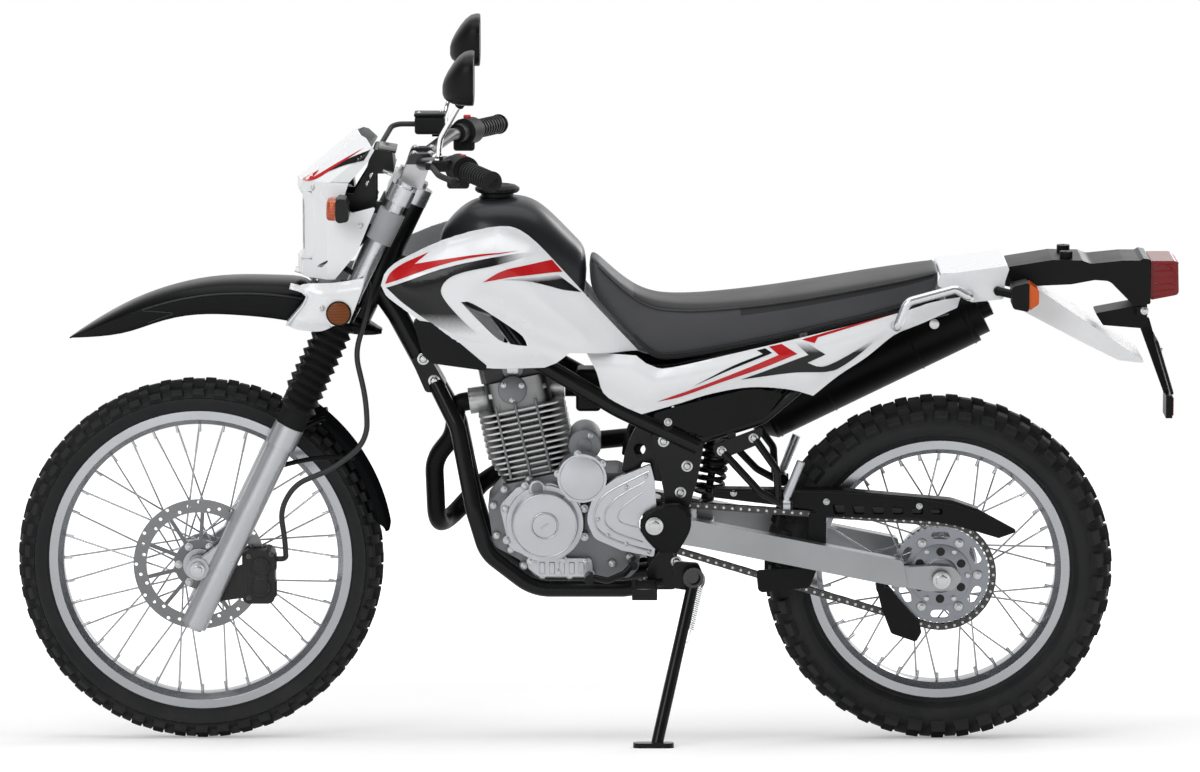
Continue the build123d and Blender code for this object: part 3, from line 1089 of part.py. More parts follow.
def bounds_of(pieces):
    lows, highs = [], []
    for solids in pieces.values():
        for s in solids:
            box = s.bounding_box()
            lows.append((box.min.X, box.min.Y, box.min.Z))
            highs.append((box.max.X, box.max.Y, box.max.Z))
    return [min(v) for v in zip(*lows)], [max(v) for v in zip(*highs)]


wheels()
front_end()
frame()
engine()
exhaust()
bodywork()
tail()
rear_end()
fittings()

LEANED = {name: [leaned(s) for s in solids] for name, solids in PIECES.items()}
LOW, HIGH = bounds_of(LEANED)
SHIFT = (-(LOW[0] + HIGH[0]) / 2, -(LOW[1] + HIGH[1]) / 2, -LOW[2])

if __name__ == "__main__":
    for name, solids in LEANED.items():
        placed = [Pos(*SHIFT) * s for s in solids]
        whole = placed[0] if len(placed) == 1 else Compound(children=placed)
        export_step(whole, f"parts/{name}.step")
    print("nodes", len(LEANED), "size", [round(h - l) for l, h in zip(LOW, HIGH)], "shift", [round(v, 2) for v in SHIFT])
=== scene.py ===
"""Dual sport motorcycle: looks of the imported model, standing on its side stand.

Pieces are built upright, in millimetres, with X towards the tail and the front wheel's and the rear wheel's axles
at FRONT_AXLE and REAR_AXLE; placed() leans them onto the stand and turns them to metres.
"""
import math

import bmesh
import bpy
from mathutils import Matrix, Vector
from mathutils.bvhtree import BVHTree


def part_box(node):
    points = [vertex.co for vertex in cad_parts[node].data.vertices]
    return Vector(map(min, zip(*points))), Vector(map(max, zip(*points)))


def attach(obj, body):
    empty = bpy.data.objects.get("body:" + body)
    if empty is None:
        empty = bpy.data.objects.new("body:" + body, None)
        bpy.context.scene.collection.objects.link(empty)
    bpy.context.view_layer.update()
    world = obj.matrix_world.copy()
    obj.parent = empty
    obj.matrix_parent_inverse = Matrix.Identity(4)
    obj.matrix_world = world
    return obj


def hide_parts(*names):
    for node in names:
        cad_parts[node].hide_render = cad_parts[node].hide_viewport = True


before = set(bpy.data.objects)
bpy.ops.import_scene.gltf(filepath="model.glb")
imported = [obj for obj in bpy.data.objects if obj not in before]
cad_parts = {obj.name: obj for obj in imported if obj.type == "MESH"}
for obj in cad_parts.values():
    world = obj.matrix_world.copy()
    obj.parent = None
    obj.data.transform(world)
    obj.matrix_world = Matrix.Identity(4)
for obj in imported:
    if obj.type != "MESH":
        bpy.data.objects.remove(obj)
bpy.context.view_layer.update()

# ---------------------------------------------------------------- the upright motorcycle's own axes, in millimetres
MM = 1000.0                        # millimetres in a metre
LEAN = math.radians(8.0)
FRONT_AXLE = (-680.0, 337.0)
REAR_AXLE = (680.0, 321.0)
COUNTERSHAFT = (92.0, 430.0)
CRANK = (-45.0, 420.0)
PIVOT = (155, 421)                 # the swingarm's pivot
REFLECTOR = (-418, 815)            # the round reflector on the fender bridge
RAKE = math.radians(25.7)          # the fork's slope
TILT = math.radians(12.0)          # the cylinder's slope
LEG_Y = 97.0                       # how far out the fork legs stand
UP, LEFTWARDS = (0, 0, 1), (0, -1, 0)
UP_THE_FORK = Vector((math.sin(RAKE), 0, math.cos(RAKE)))
UP_THE_CYLINDER = Vector((-math.sin(TILT), 0, math.cos(TILT)))
SIDES = ((-1, "left"), (1, "right"))

upright = Matrix.Rotation(LEAN, 4, "X") @ Matrix.Scale(0.001, 4)
tyre_low, tyre_high = (Vector(corner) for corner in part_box("front_tyre"))
SHIFT = (tyre_low + tyre_high) / 2 - upright @ Vector((FRONT_AXLE[0], 0, FRONT_AXLE[1]))
STANDING = Matrix.Translation(SHIFT) @ upright
UPRIGHT_AGAIN = STANDING.inverted()


def on_fork(s, back=0.0, y=0.0):
    """A point s up the fork legs from the axle's height, and back from them."""
    x = FRONT_AXLE[0] + s * math.sin(RAKE) + back * math.cos(RAKE)
    z = FRONT_AXLE[1] + s * math.cos(RAKE) - back * math.sin(RAKE)
    return Vector((x, y, z))


def around(count, start=0.0):
    """Angles evenly spaced once round."""
    return [start + 2 * math.pi * i / count for i in range(count)]


def degrees(*angles):
    return [math.radians(a) for a in angles]


def polar(centre, radius, angle):
    """A place (x, z) in the side view, at an angle round a centre."""
    return centre[0] + radius * math.cos(angle), centre[1] + radius * math.sin(angle)


def circle(centre, radius, y, count):
    """Points round a circle that faces sideways."""
    places = [polar(centre, radius, a) for a in around(count)]
    return [(x, y, z) for x, z in places]


# ---------------------------------------------------------------- shared effects, as node groups
def feed(tree, socket, value):
    """Writes a number on a socket, or links an output to it."""
    if isinstance(value, (int, float)):
        socket.default_value = value
    else:
        tree.links.new(value, socket)


def math_node(tree, operation, a, b=None, clamp=False):
    node = tree.nodes.new("ShaderNodeMath")
    node.operation = operation
    node.use_clamp = clamp
    for socket, value in zip(node.inputs, (a, b)):
        if value is not None:
            feed(tree, socket, value)
    return node.outputs[0]


def plus(tree, a, b, clamp=False):
    return math_node(tree, "ADD", a, b, clamp)


def times(tree, a, b, clamp=False):
    return math_node(tree, "MULTIPLY", a, b, clamp)


def higher(tree, a, b):
    return math_node(tree, "MAXIMUM", a, b)


def noise_node(tree, vector, scale, detail, rough):
    node = tree.nodes.new("ShaderNodeTexNoise")
    node.inputs["Detail"].default_value = detail
    node.inputs["Roughness"].default_value = rough
    feed(tree, node.inputs["Scale"], scale)
    tree.links.new(vector, node.inputs["Vector"])
    return node.outputs["Fac"]


def map_node(tree, value, low, high, to_low=0.0, to_high=1.0):
    """Stretches a value from one range onto another and stops at its ends."""
    node = tree.nodes.new("ShaderNodeMapRange")
    tree.links.new(value, node.inputs["Value"])
    for label, number in (("From Min", low), ("From Max", high), ("To Min", to_low), ("To Max", to_high)):
        node.inputs[label].default_value = number
    return node.outputs["Result"]


def axes_of(tree, vector):
    """A vector's X, Y and Z."""
    node = tree.nodes.new("ShaderNodeSeparateXYZ")
    tree.links.new(vector, node.inputs[0])
    return node.outputs


def rounded_normal(tree, radius):
    """The normal as if sharp edges had a radius, in metres."""
    node = tree.nodes.new("ShaderNodeBevel")
    node.samples = 4
    node.inputs["Radius"].default_value = radius
    return node.outputs["Normal"]


VEC, NUM = "NodeSocketVector", "NodeSocketFloat"
WEAR_RADIUS = 0.0014               # metres of an edge that wear can reach


def effect(name, amount, *results):
    """A new shader node group fed by a place and one amount: its tree, both inputs, and its results' sockets."""
    tree = bpy.data.node_groups.new(name, "ShaderNodeTree")
    tree.interface.new_socket(name="Vector", in_out="INPUT", socket_type=VEC)
    label, usual = amount
    tree.interface.new_socket(name=label, in_out="INPUT", socket_type=NUM).default_value = usual
    for result in results:
        tree.interface.new_socket(name=result, in_out="OUTPUT", socket_type=NUM)
    given = tree.nodes.new("NodeGroupInput").outputs
    return tree, given["Vector"], given[label], tree.nodes.new("NodeGroupOutput").inputs


def make_mould_grain():
    tree, place, scale, out = effect("mould_grain", ("Scale", 900.0), "Height", "Mottle")
    fine = noise_node(tree, place, scale, 2.0, 0.6)
    cells = tree.nodes.new("ShaderNodeTexVoronoi")
    tree.links.new(place, cells.inputs["Vector"])
    tree.links.new(times(tree, scale, 0.6), cells.inputs["Scale"])
    tree.links.new(plus(tree, times(tree, fine, 0.5), cells.outputs["Distance"]), out["Height"])
    tree.links.new(noise_node(tree, place, 9.0, 4.0, 0.55), out["Mottle"])
    return tree


def make_edge_wear():
    tree, place, amount, out = effect("edge_wear", ("Amount", 0.4), "Mask")
    turn = tree.nodes.new("ShaderNodeVectorMath")
    turn.operation = "DOT_PRODUCT"
    tree.links.new(rounded_normal(tree, WEAR_RADIUS), turn.inputs[0])
    tree.links.new(tree.nodes.new("ShaderNodeNewGeometry").outputs["Normal"], turn.inputs[1])
    sharp = map_node(tree, turn.outputs["Value"], 0.985, 0.86)
    broken = map_node(tree, noise_node(tree, place, 160.0, 5.0, 0.7), 0.42, 0.60)
    tree.links.new(times(tree, times(tree, sharp, broken), amount, True), out["Mask"])
    return tree


def make_road_dust():
    tree, place, amount, out = effect("road_dust", ("Amount", 0.2), "Mask")
    cloud = map_node(tree, noise_node(tree, place, 14.0, 6.0, 0.65), 0.45, 0.75)
    low_down = map_node(tree, axes_of(tree, place)["Z"], 0.75, 0.05, 0.15, 1.0)
    tree.links.new(times(tree, times(tree, cloud, low_down), amount, True), out["Mask"])
    return tree


def make_drawn_lines():
    tree, place, scale, out = effect("drawn_lines", ("Scale", 220.0), "Height")
    stretch = tree.nodes.new("ShaderNodeMapping")
    stretch.inputs["Scale"].default_value = (0.04, 1.0, 1.0)
    tree.links.new(place, stretch.inputs["Vector"])
    tree.links.new(noise_node(tree, stretch.outputs[0], scale, 3.0, 0.6), out["Height"])
    return tree


MOULD_GRAIN, EDGE_WEAR = make_mould_grain(), make_edge_wear()
ROAD_DUST, DRAWN_LINES = make_road_dust(), make_drawn_lines()


class Finish:
    """A material with the motorcycle's own upright coordinates, in metres, ready on .place."""

    def __init__(self, name):
        self.material = bpy.data.materials.new(name)
        self.material.use_nodes = True
        self.tree = self.material.node_tree
        self.shader = self.tree.nodes["Principled BSDF"]
        coords = self.tree.nodes.new("ShaderNodeTexCoord")
        mapping = self.tree.nodes.new("ShaderNodeMapping")
        mapping.inputs["Rotation"].default_value = (-LEAN, 0, 0)
        mapping.inputs["Location"].default_value = -(Matrix.Rotation(-LEAN, 3, "X") @ SHIFT)
        self.tree.links.new(coords.outputs["Object"], mapping.inputs["Vector"])
        self.place = mapping.outputs[0]

    def group(self, tree, **values):
        node = self.tree.nodes.new("ShaderNodeGroup")
        node.node_tree = tree
        self.tree.links.new(self.place, node.inputs["Vector"])
        for label, value in values.items():
            node.inputs[label].default_value = value
        return node.outputs

    def mix(self, mask, a, b):
        node = self.tree.nodes.new("ShaderNodeMix")
        node.data_type = "RGBA"
        self.tree.links.new(mask, node.inputs["Factor"])
        for socket, value in ((node.inputs["A"], a), (node.inputs["B"], b)):
            if isinstance(value, tuple):
                socket.default_value = (*value, 1.0)
            else:
                self.tree.links.new(value, socket)
        return node.outputs["Result"]

    def clouded(self, grains, a, b):
        """Two tones in large soft clouds."""
        return self.mix(map_node(self.tree, grains["Mottle"], 0.3, 0.7), a, b)

    def bump(self, height, strength, distance, under=None):
        node = self.tree.nodes.new("ShaderNodeBump")
        node.inputs["Strength"].default_value = strength
        node.inputs["Distance"].default_value = distance
        self.tree.links.new(height, node.inputs["Height"])
        if under is not None:
            self.tree.links.new(under, node.inputs["Normal"])
        return node.outputs["Normal"]

    def axes(self):
        return axes_of(self.tree, self.place)

    def send(self, socket, label):
        self.tree.links.new(socket, self.shader.inputs[label])

    def rough_from(self, value, ends, low, high):
        """Roughness between low and high, as a value goes between its ends."""
        self.send(map_node(self.tree, value, *ends, low, high), "Roughness")

    def fixed(self, **values):
        """Plain numbers on the shader's own sockets; _ stands for a space in their names."""
        for label, value in values.items():
            self.shader.inputs[label.replace("_", " ")].default_value = value


def darker(colour, by):
    return tuple(c * by for c in colour)


DUST = (0.42, 0.39, 0.35)
ALL, MIDDLE = (0.0, 1.0), (0.2, 0.8)       # how much of a pattern's range the roughness follows


def surface(name, colour, rough, metal=0.0, grain=900.0, depth=0.00004, strength=0.3, mottle=0.88, wear=None,
            wear_amount=0.5, dust=0.015, coat=0.0, edge=0.0009, drawn=0.0, second=None, gloss=0.5):
    """The usual finish: mottled colour, grain in the surface, worn edges and a little dust low down.

    depth and edge are in metres. second is (mask maker, colour): a second colour on part of the piece.
    """
    f = Finish(name)
    grains = f.group(MOULD_GRAIN, Scale=grain)
    tint, shade = colour, darker(colour, mottle)
    if second is not None:
        mask, other = second
        tint = f.mix(mask(f), tint, other)
        shade = f.mix(mask(f), shade, darker(other, mottle))
    base = f.clouded(grains, tint, shade)
    if wear is not None:
        base = f.mix(f.group(EDGE_WEAR, Amount=wear_amount)["Mask"], base, wear)
    if dust:
        base = f.mix(f.group(ROAD_DUST, Amount=dust)["Mask"], base, DUST)
    f.send(base, "Base Color")
    f.rough_from(grains["Mottle"], MIDDLE, max(rough - 0.06, 0.03), min(rough + 0.08, 1.0))
    height = f.group(DRAWN_LINES, Scale=drawn)["Height"] if drawn else grains["Height"]
    f.send(f.bump(height, strength, depth, rounded_normal(f.tree, edge) if edge else None), "Normal")
    f.fixed(Metallic=metal, Specular_IOR_Level=gloss)
    if coat:
        f.fixed(Coat_Weight=coat, Coat_Roughness=0.06)
    return f.material


# A mask maker takes a finish and puts a mask in it, for the second colour of a piece.
BORDER = 0.0004                    # metres, half the soft border between two colours
FIN_HALF = (0.079, 0.075)          # metres, half the cylinder's fins along and across


def beyond(axis, limit, below=False):
    """A mask maker: 1 where the upright place along an axis is past the limit, in metres."""
    soft = -BORDER if below else BORDER
    return lambda f: map_node(f.tree, f.axes()[axis], limit - soft, limit + soft)


def from_place(f, place):
    """How far behind and above a place in the side view each point is, in metres."""
    parts = f.axes()
    return plus(f.tree, parts["X"], -place[0] / MM), plus(f.tree, parts["Z"], -place[1] / MM)


def below_on_fork(limit):
    """A mask maker: 1 below a height along the fork legs, in metres."""
    def make(f):
        dx, dz = from_place(f, FRONT_AXLE)
        along = plus(f.tree, times(f.tree, dx, math.sin(RAKE)), times(f.tree, dz, math.cos(RAKE)))
        return map_node(f.tree, along, limit + BORDER, limit - BORDER)
    return make


def fin_edge_past_painted_shade(f):
    """1 on the outer few millimetres of the cylinder's fins, 0 at their roots and between them, where the dark colour
    is painted shade.
    """
    dx, dz = from_place(f, CRANK)
    across = plus(f.tree, times(f.tree, dx, math.cos(TILT)), times(f.tree, dz, math.sin(TILT)))
    wide, deep = (times(f.tree, math_node(f.tree, "ABSOLUTE", part), 1 / half)
                  for part, half in zip((across, f.axes()["Y"]), FIN_HALF))
    return map_node(f.tree, higher(f.tree, wide, deep), 0.66, 0.84)


def on_fork_collar(f):
    """1 on the collars round the fork legs, 0 between them."""
    outward = math_node(f.tree, "ABSOLUTE", f.axes()["Y"])
    return map_node(f.tree, math_node(f.tree, "ABSOLUTE", plus(f.tree, outward, -0.098)), 0.0246, 0.0242)


WHITE = (0.80, 0.81, 0.83)
BLACK = (0.0075, 0.0078, 0.0085)
RED = (0.50, 0.006, 0.009)
PLASTIC_BLACK = (0.0065, 0.0070, 0.0076)

white_plastic = surface("white_plastic", WHITE, 0.24, grain=1400, depth=0.00001, strength=0.12, mottle=0.975,
                        dust=0.012, coat=0.5, gloss=0.4)
black_plastic = surface("black_plastic", (0.0055, 0.0058, 0.0064), 0.36, grain=1100, depth=0.00003, strength=0.25,
                        wear=(0.09, 0.09, 0.09), wear_amount=0.25, dust=0.005, gloss=0.12)
gloss_black = surface("gloss_black", PLASTIC_BLACK, 0.2, grain=1400, depth=0.00001, strength=0.12, dust=0.005,
                      coat=0.12, gloss=0.16)
dark_grey_tank = surface("dark_grey_tank", (0.015, 0.0165, 0.0185), 0.34, grain=1600, depth=0.00002, strength=0.2,
                         mottle=0.9, dust=0.004, coat=0.06, gloss=0.25)
frame_black = surface("frame_black", (0.0060, 0.0064, 0.0070), 0.28, grain=1300, depth=0.00002, strength=0.18,
                      wear=(0.20, 0.20, 0.20), wear_amount=0.3, coat=0.05, gloss=0.17)
exhaust_black = surface("exhaust_black", (0.0045, 0.0046, 0.0050), 0.42, grain=1500, depth=0.00002, strength=0.25,
                        wear=(0.12, 0.11, 0.10), wear_amount=0.3, gloss=0.1)
cast_silver = surface("cast_silver", (0.50, 0.515, 0.54), 0.34, 0.85, grain=1700, depth=0.00004, strength=0.3,
                      mottle=0.9, dust=0.03)
cast_grey = surface("cast_grey", (0.21, 0.217, 0.228), 0.45, 0.8, grain=1300, depth=0.00006, strength=0.4, mottle=0.8,
                    dust=0.05)
# The cylinder's dark base colour is painted shade between the fins and at their roots; the bright second colour on the
# fins' outer edges is the metal's own tone.
fin_metal_painted_shade = surface("fin_metal_painted_shade", (0.045, 0.045, 0.046), 0.36, 0.8, grain=1300, depth=0.00005, strength=0.35,
                    mottle=0.75, dust=0.03, second=(fin_edge_past_painted_shade, (0.56, 0.565, 0.57)))
bright_alloy = surface("bright_alloy", (0.40, 0.41, 0.43), 0.2, 0.95, grain=1200, depth=0.00001, strength=0.15,
                       mottle=0.93, dust=0.04)
brushed_alloy = surface("brushed_alloy", (0.33, 0.34, 0.35), 0.32, 0.9, drawn=900, depth=0.00003, strength=0.3,
                        mottle=0.9, dust=0.04)
leg_silver = surface("leg_silver", (0.47, 0.48, 0.50), 0.3, 0.6, grain=1500, depth=0.00001, strength=0.15, mottle=0.94,
                     dust=0.03, coat=0.3)
clamp_metal = surface("clamp_metal", (0.52, 0.53, 0.55), 0.26, 0.85, grain=1500, depth=0.00002, strength=0.2,
                      mottle=0.9, dust=0.03, second=(below_on_fork(0.572), BLACK))
bar_metal = surface("bar_metal", (0.030, 0.030, 0.033), 0.3, 0.5, grain=1500, depth=0.00001, strength=0.15, dust=0.01,
                    second=(beyond("Z", 1.0765, below=True), (0.5, 0.5, 0.51)))
chrome = surface("chrome", (0.86, 0.87, 0.88), 0.09, 1.0, grain=600, depth=0.000005, strength=0.1, mottle=0.95,
                 dust=0.02)
steel = surface("steel", (0.55, 0.555, 0.56), 0.28, 1.0, grain=1300, depth=0.00002, strength=0.25, mottle=0.85,
                dust=0.04)
dark_steel = surface("dark_steel", (0.075, 0.074, 0.073), 0.38, 0.9, grain=1200, depth=0.00003, strength=0.3,
                     mottle=0.7, wear=(0.55, 0.53, 0.5), wear_amount=0.6)
caliper_black = surface("caliper_black", (0.028, 0.027, 0.027), 0.45, 0.2, grain=1400, depth=0.00006, strength=0.4,
                        wear=(0.2, 0.19, 0.18), wear_amount=0.3, gloss=0.18)
soft_rubber = surface("soft_rubber", (0.0075, 0.0078, 0.0084), 0.6, grain=1500, depth=0.00004, strength=0.35,
                      mottle=0.8, dust=0.012, gloss=0.12)
grip_rubber = surface("grip_rubber", (0.012, 0.0125, 0.0135), 0.5, grain=1800, depth=0.00005, strength=0.4, mottle=0.85,
                      dust=0.01, gloss=0.15)
grab_silver = surface("grab_silver", (0.60, 0.61, 0.63), 0.22, 0.75, grain=1500, depth=0.00001, strength=0.12,
                      mottle=0.95, dust=0.03, coat=0.3)
hose_rubber = surface("hose_rubber", (0.030, 0.031, 0.033), 0.45, grain=1500, depth=0.00003, strength=0.3, mottle=0.85,
                      dust=0.01, gloss=0.3)
stripe_red = surface("stripe_red", RED, 0.25, grain=1400, depth=0.00001, strength=0.1, mottle=0.95, dust=0.02, coat=0.2,
                     edge=0, gloss=0.25)
stripe_black = surface("stripe_black", BLACK, 0.25, grain=1400, depth=0.00001, strength=0.1, mottle=0.9, dust=0.02,
                       coat=0.1, edge=0, gloss=0.12)
switch_red = surface("switch_red", (0.62, 0.02, 0.03), 0.4, grain=1200, mottle=0.9, dust=0.02)
plate_paint = surface("plate_paint", (0.72, 0.72, 0.70), 0.4, 0.1, grain=1200, mottle=0.95, dust=0.05)
mudguard_black = surface("mudguard_black", PLASTIC_BLACK, 0.6, grain=1400, depth=0.00002, strength=0.2, dust=0.004,
                         gloss=0.0)
fender_black = surface("fender_black", (0.0045, 0.0048, 0.0054), 0.24, grain=1400, depth=0.00001, strength=0.12,
                       dust=0.004, gloss=0.1)
mirror_silver = surface("mirror_silver", (0.80, 0.82, 0.84), 0.03, 1.0, grain=600, depth=0.000002, strength=0.02,
                        mottle=0.97, dust=0.01)
sprocket_alloy = surface("sprocket_alloy", (0.27, 0.285, 0.31), 0.32, 0.9, grain=1300, mottle=0.85, dust=0.03)
lamp_bracket_finish = surface("lamp_bracket_finish", (0.008, 0.0084, 0.009), 0.34, grain=1300, gloss=0.2,
                              second=(on_fork_collar, (0.34, 0.35, 0.365)))


def tyre_rubber():
    """Grey on the knobs' edges, partly worn rubber and partly painted highlight where light catches them; dusty low
    down.
    """
    f = Finish("tyre_rubber")
    grains = f.group(MOULD_GRAIN, Scale=700.0)
    base = f.clouded(grains, (0.0095, 0.0102, 0.0112), (0.0180, 0.0186, 0.0196))
    # The lighter grey on the knobs' sharp edges is partly real wear and partly a painted highlight.
    base = f.mix(f.group(EDGE_WEAR, Amount=0.5)["Mask"], base, (0.060, 0.062, 0.066))
    base = f.mix(f.group(ROAD_DUST, Amount=0.07)["Mask"], base, (0.16, 0.145, 0.13))
    f.send(base, "Base Color")
    f.rough_from(grains["Mottle"], MIDDLE, 0.55, 0.78)
    f.send(f.bump(grains["Height"], 0.5, 0.00012, rounded_normal(f.tree, 0.0008)), "Normal")
    f.fixed(Specular_IOR_Level=0.25)
    return f.material


def vinyl(name, colour, grain):
    """Seat cover with a leather grain over slight wrinkles."""
    f = Finish(name)
    grains = f.group(MOULD_GRAIN, Scale=grain)
    f.send(f.clouded(grains, colour, darker(colour, 0.85)), "Base Color")
    f.rough_from(grains["Mottle"], MIDDLE, 0.42, 0.56)
    wrinkles = f.bump(noise_node(f.tree, f.place, 26.0, 4.0, 0.6), 0.12, 0.0012)
    f.send(f.bump(grains["Height"], 0.6, 0.00018, wrinkles), "Normal")
    f.fixed(Sheen_Weight=0.1, Specular_IOR_Level=0.3)
    return f.material


def lens(name, colour, rough=0.12, clear=0.35, coat=0.6, gloss=0.5):
    """Moulded lamp lens with fine prism lines."""
    f = Finish(name)
    lines = f.tree.nodes.new("ShaderNodeTexWave")
    lines.wave_type = "BANDS"
    lines.bands_direction = "Z"
    lines.inputs["Scale"].default_value = 60.0
    f.tree.links.new(f.place, lines.inputs["Vector"])
    f.send(f.mix(lines.outputs["Fac"], colour, darker(colour, 0.72)), "Base Color")
    f.send(f.bump(lines.outputs["Fac"], 0.5, 0.0006), "Normal")
    f.rough_from(lines.outputs["Fac"], ALL, rough, rough + 0.08)
    f.fixed(Transmission_Weight=clear, Coat_Weight=coat, Specular_IOR_Level=gloss)
    return f.material


def disc_steel():
    """The brake disc: ground in fine rings, and brighter where the pads sweep it."""
    f = Finish("disc_steel")
    dx, dz = from_place(f, FRONT_AXLE)
    r = math_node(f.tree, "SQRT", plus(f.tree, times(f.tree, dx, dx), times(f.tree, dz, dz)))
    rings = math_node(f.tree, "SINE", times(f.tree, r, 9000.0))
    swept = map_node(f.tree, r, 0.0955, 0.0975)
    f.send(f.mix(swept, (0.14, 0.142, 0.147), (0.19, 0.192, 0.196)), "Base Color")
    f.rough_from(rings, (-1.0, 1.0), 0.24, 0.36)
    f.send(f.bump(rings, 0.2, 0.00002, rounded_normal(f.tree, 0.0006)), "Normal")
    f.fixed(Metallic=1.0)
    return f.material


def fading(name, axis, full, none):
    """A black stripe that fades to the white panel between two places along an axis, through fine dots."""
    f = Finish(name)
    dots = f.tree.nodes.new("ShaderNodeTexVoronoi")
    dots.inputs["Scale"].default_value = 700.0
    f.tree.links.new(f.place, dots.inputs["Vector"])
    grade = map_node(f.tree, f.axes()[axis], full, none, -0.14, 1.14)
    speck = map_node(f.tree, dots.outputs["Distance"], *ALL, -0.12, 0.12)
    f.send(f.mix(plus(f.tree, grade, speck, True), BLACK, WHITE), "Base Color")
    f.rough_from(dots.outputs["Distance"], ALL, 0.22, 0.28)
    f.fixed(Specular_IOR_Level=0.2, Coat_Weight=0.12)
    return f.material


AMBER = (0.66, 0.10, 0.004)
tyre = tyre_rubber()
seat_top_vinyl = vinyl("seat_top_vinyl", (0.014, 0.0145, 0.0155), 700.0)
seat_side_vinyl = vinyl("seat_side_vinyl", (0.050, 0.051, 0.056), 800.0)
amber_lens = lens("amber_lens", AMBER, coat=0.35, gloss=0.35)
reflector_amber = lens("reflector_amber", (0.19, 0.050, 0.006), 0.2, 0.05, coat=0.1, gloss=0.15)
red_lens = lens("red_lens", (0.30, 0.004, 0.006), 0.14, 0.06, coat=0.15, gloss=0.2)
clear_lens = lens("clear_lens", (0.9, 0.92, 0.94), 0.03, 0.92)
rotor_steel = disc_steel()
rear_lens_plastic = surface("rear_lens_plastic", AMBER, 0.16, grain=500, depth=0.0001, strength=0.2, mottle=0.85,
                            dust=0.0, coat=0.15, gloss=0.2, second=(beyond("X", 1.0), (0.20, 0.003, 0.005)))

# ---------------------------------------------------------------- CAD nodes that keep their shape
FINISHED_NODES = [
    (bright_alloy, "front_rim rear_rim front_hub rear_hub"), (rotor_steel, "front_disc"),
    (sprocket_alloy, "rear_sprocket"), (leg_silver, "fork_sliders"), (soft_rubber, "fork_boots"),
    (clamp_metal, "triple_clamps"), (bar_metal, "handlebar"), (grip_rubber, "bar_controls"), (chrome, "mirrors"),
    (white_plastic, "headlight_mask fender_bridge tank_shrouds side_covers tail_covers"),
    (lamp_bracket_finish, "lamp_bracket"), (amber_lens, "front_lenses"), (fender_black, "front_fenders"),
    (caliper_black, "brake_caliper"), (hose_rubber, "brake_hose"),
    (frame_black, "side_stand main_frame engine_cradle foot_controls peg_hangers"),
    (cast_silver, "passenger_peg_left passenger_peg_right engine_covers"), (brushed_alloy, "swingarm"),
    (dark_steel, "shock chain"), (black_plastic, "chain_guards intake dark_panels tail_unit"), (cast_grey, "crankcase"),
    (fin_metal_painted_shade, "cylinder"), (exhaust_black, "exhaust"), (dark_grey_tank, "fuel_tank"), (seat_side_vinyl, "seat"),
    (rear_lens_plastic, "rear_lenses"), (grab_silver, "grab_bars"), (tyre, "front_tyre rear_tyre"),
]
for finish, node_names in FINISHED_NODES:
    for node_name in node_names.split():
        for material_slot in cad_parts[node_name].material_slots:
            material_slot.material = finish


def rounded_edges(obj, width, sharper_than):
    """Rounds an object's edges by a width in millimetres, where they turn by more than an angle in degrees."""
    rim = obj.modifiers.new("rounded_edges", "BEVEL")
    rim.width = width / MM
    rim.segments = 2
    rim.limit_method = "ANGLE"
    rim.angle_limit = math.radians(sharper_than)
    return rim


ROUNDED_NODES = {
    "headlight_mask": 2.0, "tail_covers": 5.0, "tail_unit": 3.0, "crankcase": 2.5, "engine_covers": 1.6,
    "dark_panels": 2.0, "grab_bars": 1.0, "swingarm": 3.0, "brake_caliper": 2.5, "rear_lenses": 3.0,
    "foot_controls": 1.2,
}
for node_name, width in ROUNDED_NODES.items():
    rounded_edges(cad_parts[node_name], width, 38).use_clamp_overlap = True


# ---------------------------------------------------------------- making pieces
def placed(name, bm, body, material, smooth=40.0, subdivisions=0, outward=True, stand_for=()):
    """Turns a mesh built in upright millimetres into a piece that rides on a body.

    Edges that turn by more than smooth, in degrees, stay sharp, and subdivisions round the whole piece instead.
    """
    bmesh.ops.remove_doubles(bm, verts=bm.verts, dist=0.01)
    if outward:
        bmesh.ops.recalc_face_normals(bm, faces=bm.faces)
    bmesh.ops.transform(bm, matrix=STANDING, verts=bm.verts)
    mesh = bpy.data.meshes.new(name)
    bm.to_mesh(mesh)
    bm.free()
    obj = bpy.data.objects.new(name, mesh)
    bpy.context.scene.collection.objects.link(obj)
    for m in material if isinstance(material, list) else [material]:
        mesh.materials.append(m)
    mesh.shade_smooth()
    if subdivisions:
        soft = obj.modifiers.new("rounding", "SUBSURF")
        soft.levels = soft.render_levels = subdivisions
    else:
        mesh.set_sharp_from_angle(angle=math.radians(smooth))
    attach(obj, body)
    if stand_for:
        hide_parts(*stand_for)
    return obj


def walled(obj, thick):
    """Gives an open skin a wall inwards, in millimetres."""
    wall = obj.modifiers.new("wall", "SOLIDIFY")
    wall.thickness = thick / MM
    wall.offset = -1.0
    return wall


def turned_over(bm, rightness):
    """Turns a skin over if its faces look the wrong way on the whole; rightness tells how far a face looks right."""
    for face in bm.faces:
        face.normal_update()
    if sum(rightness(face) for face in bm.faces) < 0:
        bmesh.ops.reverse_faces(bm, faces=bm.faces)


def strips_into(bm, rows):
    """Joins rows of vertices into an open skin."""
    for a, b in zip(rows, rows[1:]):
        for i in range(len(a) - 1):
            bm.faces.new((a[i], a[i + 1], b[i + 1], b[i]))


def ring_edges(bm, verts):
    return [bm.edges.new(pair) for pair in zip(verts, verts[1:] + verts[:1])]


def skinned(bm, rings, capped=True):
    """Bridges rings of edges one to the next, and closes both ends."""
    for a, b in zip(rings, rings[1:]):
        bmesh.ops.bridge_loops(bm, edges=a + b)
    if capped:
        for ring in (rings[0], rings[-1]):
            bmesh.ops.contextual_create(bm, geom=ring)


